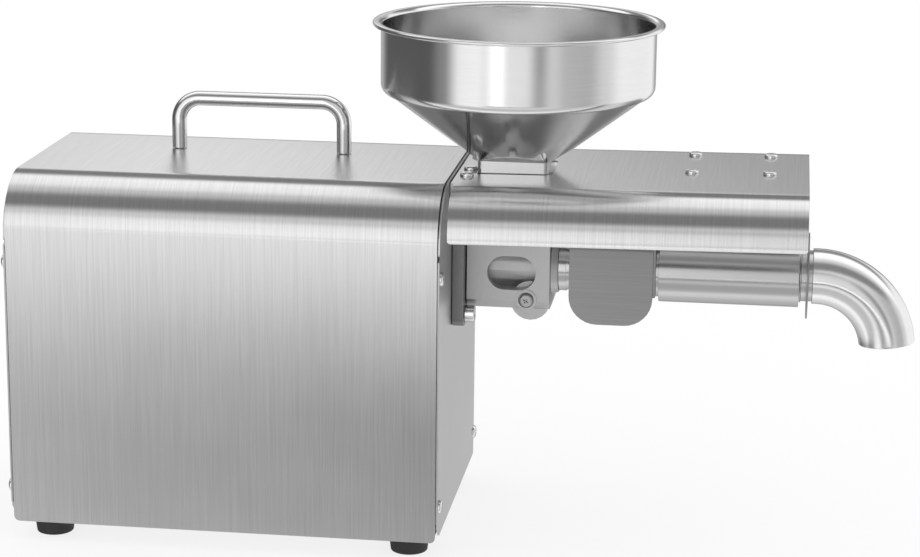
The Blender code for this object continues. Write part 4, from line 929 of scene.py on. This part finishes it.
def bowl_profile(rim, top, inset):
    """The bowl from the cone's lower end up the inside, over the lip and down the outside."""
    inside = [
        (CONE + inset.x, CONE_LOW + inset.y),
        (SHOULDER + inset.x, SHOULDER_LOW + inset.y),
        (BOWL - SHEET, SHOULDER_TOP + SHOULDER_INSIDE_RISE),
    ]
    flare_low = top - FLARE_DEPTH
    lip = quarter((BOWL - SHEET, flare_low), (BOWL + FLARE_INSIDE, top), FLARE_STEPS, False)
    lip += quarter((rim - LIP_ROUND, top), (rim, top - LIP_ROUND_DEPTH), LIP_STEPS, True)
    lip += [(rim - inwards, top - down) for inwards, down in LIP_CURL]
    throat_top = (BOWL + FLARE_OUTSIDE, top - LIP_DEPTH)
    outside = quarter(throat_top, (BOWL, flare_low), THROAT_STEPS, True)
    outside += quarter((BOWL, SHOULDER_TOP), (SHOULDER, SHOULDER_LOW), SHOULDER_STEPS, False)
    outside += [(SHOULDER - CREASE_IN, SHOULDER_LOW - CREASE_DOWN), (CONE, CONE_LOW)]
    return inside + lip + outside


def make_hopper():
    low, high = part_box("hopper")
    rim = (high.x - low.x) / 2
    slope = math.atan2(SHOULDER_LOW - CONE_LOW, SHOULDER - CONE)
    inset = Vector((-math.sin(slope), math.cos(slope))) * SHEET
    inner_top = NECK_TOP + SHEET / 2
    piece = rings(
        "hopper_bowl", "z", HOPPER_MIDDLE, bowl_profile(rim, high.z, inset), HOPPER_SIDES
    )
    outer = square_neck("neck_out", NECK, NECK_CORNER, low.z, NECK_TOP)
    inner = square_neck(
        "neck_in", NECK - SHEET, NECK_CORNER - SHEET, low.z + NECK_CHAMFER, inner_top
    )
    pick(piece)
    outer.select_set(True)
    inner.select_set(True)
    bpy.ops.object.join()
    edit_all(piece)
    between = CONE + inset.x / 2
    bridge_rings(piece, (CONE_LOW, between, rim), (NECK_TOP, 0, rim))
    bridge_rings(piece, (CONE_LOW + inset.y, 0, between), (inner_top, 0, rim))
    bridge_rings(piece, (low.z, 0, rim), (low.z + NECK_CHAMFER, 0, rim))
    leave_edit()
    outwards(piece)
    smooth(piece, HOPPER_SHARP)
    finish_with(stands_for(piece, "hopper"), spun_steel)
    piece.data.materials.append(cone_steel)
    piece.data.materials.append(neck_steel)
    for face in piece.data.polygons:
        if face.center.z < NECK_TOP + SHEET:
            face.material_index = 2
        elif face.center.z < SHOULDER_LOW + CONE_SEAM:
            face.material_index = 1


make_hopper()


# Bent rods and tubes

ROD = 4.0 * MM
ROD_BEND = 12.0 * MM
ROD_SIDES = 48
ROD_BEND_STEPS = 16
ROD_EDGE = 0.3 * MM
ELBOW = 14.7 * MM
ELBOW_START = 2.2 * MM
ELBOW_BEND = 38.25 * MM
ELBOW_ANGLE = math.radians(84)
ELBOW_WALL = 0.9 * MM
ELBOW_SIDES = 72
ELBOW_STEPS = 40
ELBOW_EDGE = 0.3 * MM


def bent_tube(name, start, direction, radius, moves, sides):
    """Draw a circle and lead it along straight runs and round bends in the XZ plane."""
    deselect()
    turn = Vector((0, 0, 1)).rotation_difference(direction).to_euler()
    bpy.ops.mesh.primitive_circle_add(vertices=sides, radius=radius, location=start, rotation=turn)
    piece = name_new(name)
    edit_all(piece)
    for kind, *move in moves:
        if kind == "run":
            bpy.ops.mesh.extrude_region_move(TRANSFORM_OT_translate={"value": move[0]})
        else:
            centre, angle, steps = move
            bpy.ops.mesh.spin(steps=steps, angle=-angle, center=centre, axis=(0, 1, 0))
    leave_edit()
    outwards(piece)
    return piece


def make_handle():
    low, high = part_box("carry_handle")
    left = low.x + ROD
    right = high.x - ROD
    middle = (low.y + high.y) / 2
    bend_height = high.z - ROD - ROD_BEND
    rise = bend_height - low.z
    across = right - left - 2 * ROD_BEND
    piece = bent_tube(
        "handle_rod", Vector((left, middle, low.z)), Vector((0, 0, 1)), ROD,
        (
            ("run", (0, 0, rise)),
            ("bend", (left + ROD_BEND, middle, bend_height), math.pi / 2, ROD_BEND_STEPS),
            ("run", (across, 0, 0)),
            ("bend", (right - ROD_BEND, middle, bend_height), math.pi / 2, ROD_BEND_STEPS),
            ("run", (0, 0, -rise)),
        ),
        ROD_SIDES,
    )
    edit_all(piece)
    for side in (-1, 1):
        select_by(
            piece, "EDGE",
            lambda edge: edge.is_boundary and (edge.verts[0].co.x - (left + right) / 2) * side > 0,
        )
        bpy.ops.mesh.edge_face_add()
    leave_edit()
    outwards(piece)
    bevel(piece, ROD_EDGE, 2, ROD_CORNER)
    smooth(piece)
    finish_with(stands_for(piece, "carry_handle"), rod_steel)


def make_elbow():
    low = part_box("discharge_elbow")[0]
    axis = box_middle("heater_sleeve")
    bend_centre = (low.x + ELBOW_START, axis.y, axis.z - ELBOW_BEND)
    piece = bent_tube(
        "elbow_pipe", Vector((low.x, axis.y, axis.z)), Vector((1, 0, 0)), ELBOW,
        (("run", (ELBOW_START, 0, 0)), ("bend", bend_centre, ELBOW_ANGLE, ELBOW_STEPS)),
        ELBOW_SIDES,
    )
    wall(piece, ELBOW_WALL)
    bevel(piece, ELBOW_EDGE, 3, TUBE_CORNER)
    smooth(piece)
    finish_with(stands_for(piece, "discharge_elbow"), elbow_steel)


make_handle()
make_elbow()


# Heater sleeve on the press axis

SLEEVE_WALL = 2 * MM
SLEEVE_EDGE = 0.4 * MM
SLEEVE_SIDES = 96


def make_sleeve():
    """A closed section turned about the press axis, its edges softened."""
    low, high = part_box("heater_sleeve")
    axis = box_middle("heater_sleeve")
    outer = (high.z - low.z) / 2
    inner = outer - SLEEVE_WALL
    piece = rings(
        "sleeve_tube", "x", (0, axis.y, axis.z),
        [(inner, low.x), (outer, low.x), (outer, high.x), (inner, high.x)],
        SLEEVE_SIDES, True,
    )
    bevel(piece, SLEEVE_EDGE, 2, TURNED_CORNER)
    smooth(piece)
    finish_with(stands_for(piece, "heater_sleeve"), sleeve_steel)


make_sleeve()


# Screws, each kind modelled once and copied to its places

SCREW_SIDES = 40
SCREW_SHARP = math.radians(40)
PAN = 3.6 * MM
PAN_HEIGHT = 1.8 * MM
PAN_ROUND_SHARE = 0.72
PAN_ROUND_STEPS = 6
SHANK = 1.9 * MM
CROSS = 3.9 * MM
CROSS_WIDTH = 0.85 * MM
CROSS_DEPTH = 1.25 * MM
CROSS_TAPER_SHARE = 0.55
CAP = 4.5 * MM
CAP_HEIGHT = 5.2 * MM
CAP_EDGE = 0.35 * MM
CAP_SHANK = 2.5 * MM
SOCKET = 2.6 * MM
SOCKET_DEPTH = 2.8 * MM
# Each screw stops at its own angle, as tightened by hand; a cross looks alike after a quarter turn
SCREW_STEP = 37
QUARTER_TURN = 90
SCREW_TURNS = {
    node: math.radians(SCREW_STEP * place % QUARTER_TURN)
    for place, node in enumerate(sorted(nodes)) if "screw" in node or "bolt" in node
}


def screw_head(name, radius, height):
    """A round head on its seat at the origin, left in edit mode."""
    deselect()
    bpy.ops.mesh.primitive_cylinder_add(
        vertices=SCREW_SIDES, radius=radius, depth=height, location=(0, 0, height / 2)
    )
    piece = name_new(name)
    edit_all(piece)
    return piece


def draw_shank(piece, inset, length):
    select_by(piece, "FACE", faces_down)
    bpy.ops.mesh.inset(thickness=inset)
    bpy.ops.mesh.extrude_region_move(TRANSFORM_OT_translate={"value": (0, 0, -length)})
    leave_edit()


def pan_screw(name, length):
    """A pan head screw with a cross recess: head top towards +Z."""
    piece = screw_head(name, PAN, PAN_HEIGHT)
    select_by(
        piece, "EDGE",
        lambda edge: all(point.co.z > PAN_HEIGHT / 2 for point in edge.verts),
    )
    bpy.ops.mesh.bevel(
        offset=PAN_HEIGHT * PAN_ROUND_SHARE, segments=PAN_ROUND_STEPS, affect="EDGES"
    )
    draw_shank(piece, PAN - SHANK, length - PAN_HEIGHT)
    for turn in (0, math.pi / 2):
        deselect()
        bpy.ops.mesh.primitive_cube_add(
            size=1, location=(0, 0, PAN_HEIGHT), rotation=(0, 0, turn),
            scale=(CROSS, CROSS_WIDTH, 2 * CROSS_DEPTH),
        )
        slot_cutter = name_new("cross_slot")
        edit_all(slot_cutter)
        select_by(slot_cutter, "FACE", faces_down)
        bpy.ops.transform.resize(
            value=(CROSS_TAPER_SHARE, CROSS_TAPER_SHARE, 1), center_override=(0, 0, PAN_HEIGHT)
        )
        leave_edit()
        cut_with(piece, slot_cutter)
    smooth(piece, SCREW_SHARP)
    return piece


def cap_bolt(name, length):
    """A cylinder head bolt with a hexagon socket: head top towards +Z."""
    piece = screw_head(name, CAP, CAP_HEIGHT)
    draw_shank(piece, CAP - CAP_SHANK, length - CAP_HEIGHT)
    deselect()
    bpy.ops.mesh.primitive_cylinder_add(
        vertices=6, radius=SOCKET, depth=SOCKET_DEPTH * 2, location=(0, 0, CAP_HEIGHT)
    )
    cut_with(piece, name_new("hex_socket"))
    bevel(piece, CAP_EDGE, 3, TUBE_CORNER)
    smooth(piece, SCREW_SHARP)
    return piece


def place_screws(master, members, direction, lean=0.0, material=screw_steel):
    """Copy a modelled screw to the heads of CAD screws that all face one way."""
    facing = Vector(direction)
    turn = Vector((0, 0, 1)).rotation_difference(facing).to_matrix().to_4x4()
    lean_turn = Matrix.Rotation(lean, 4, "Y")
    height = max(corner[2] for corner in master.bound_box)
    for node in members:
        low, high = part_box(node)
        middle = (low + high) / 2
        side = Vector([
            high[k] if facing[k] > 0 else low[k] if facing[k] < 0 else middle[k] for k in range(3)
        ])
        copy = master.copy()
        copy.data = master.data.copy()
        copy.name = node + "_head"
        copy.data.name = copy.name
        bpy.context.scene.collection.objects.link(copy)
        copy.matrix_world = (
            Matrix.Translation(side - facing * height) @ lean_turn @ turn
            @ Matrix.Rotation(SCREW_TURNS[node], 4, "Z")
        )
        settle(copy)
        finish_with(stands_for(copy, node), material)
    bpy.data.objects.remove(master, do_unlink=True)


def make_screws():
    low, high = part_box("cover_screw_front_left")
    pan_length = high.z - low.z
    tilted = members_of("cover_screw") + members_of("bracket_screw")
    place_screws(pan_screw("pan_screw", pan_length), tilted, (0, 0, 1), -COVER_TILT)
    place_screws(pan_screw("pan_screw", pan_length), members_of("plate_screw_press"), (1, 0, 0))
    place_screws(pan_screw("pan_screw", pan_length), members_of("plate_screw_motor"), (-1, 0, 0))
    low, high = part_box("flange_bolt_front_low")
    place_screws(cap_bolt("cap_bolt", high.x - low.x), members_of("flange_bolt"), (1, 0, 0))
    low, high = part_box("clamp_screw")
    clamp = pan_screw("clamp", high.y - low.y)
    place_screws(clamp, ["clamp_screw"], (0, -1, 0), material=cast_metal)


make_screws()


# Rubber feet

FOOT_TAPER = 1.3 * MM
FOOT_BORE_SHARE = 0.4
FOOT_TREAD_SHARE = 0.62
FOOT_HOLLOW = 2 * MM
FOOT_EDGE = 0.7 * MM
FOOT_SIDES = 56


def make_feet():
    for node in members_of("foot_"):
        low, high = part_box(node)
        wide = (high.x - low.x) / 2
        narrow = wide - FOOT_TAPER
        piece = rings(
            node + "_rubber", "z", (low + high) / 2,
            [
                (narrow * FOOT_BORE_SHARE, high.z), (wide, high.z), (narrow, low.z),
                (narrow * FOOT_TREAD_SHARE, low.z), (narrow * FOOT_BORE_SHARE, low.z + FOOT_HOLLOW),
            ],
            FOOT_SIDES, True,
        )
        bevel(piece, FOOT_EDGE, 4, TURNED_CORNER)
        smooth(piece)
        finish_with(stands_for(piece, node), rubber)


make_feet()


# Copies of the parts whose shape is kept, with the width of their softened edges and their finish

copied = {
    "base_tray": (0.2 * MM, casing_steel), "end_plate_press": (0.25 * MM, plate_steel),
    "end_plate_motor": (0.25 * MM, plate_steel), "adapter_flange": (0.5 * MM, satin_steel),
    # The drip guard shares the hood's darker grey, which is painted shade
    "feed_block": (0.45 * MM, blasted), "drip_guard": (0.2 * MM, hood_steel_painted_shade),
    "cover_hanger": (0.2 * MM, cover_steel), "cover_bracket": (0.2 * MM, cover_steel),
    "outlet_nozzle": (0.2 * MM, sleeve_steel), "press_barrel": (0.2 * MM, sleeve_steel),
    "press_screw": (0, screw_steel), "handle_screw_left": (0.1 * MM, screw_steel),
    "handle_screw_right": (0.1 * MM, screw_steel), "motor_switch_body": (0.4 * MM, plastic),
    "heater_switch_body": (0.4 * MM, plastic), "motor_rocker": (0.3 * MM, plastic),
    "heater_rocker": (0.3 * MM, plastic), "power_inlet": (0.4 * MM, plastic),
    "motor_housing": (0.3 * MM, motor_paint), "motor_rotor": (0.1 * MM, gear_steel),
    "gearbox_housing": (0.4 * MM, cast_metal), "gearbox_cover": (0.4 * MM, cast_metal),
    "layshaft_gears": (0, gear_steel), "output_gear": (0, gear_steel),
    "output_shaft": (0.2 * MM, gear_steel), "bearing_output": (0.2 * MM, gear_steel),
    "bearing_rear": (0.2 * MM, gear_steel), "cooling_fan": (0.1 * MM, fan_plastic),
}
for node, (soft, material) in copied.items():
    finish_with(copy_of(node, node + "_look", soft), material)
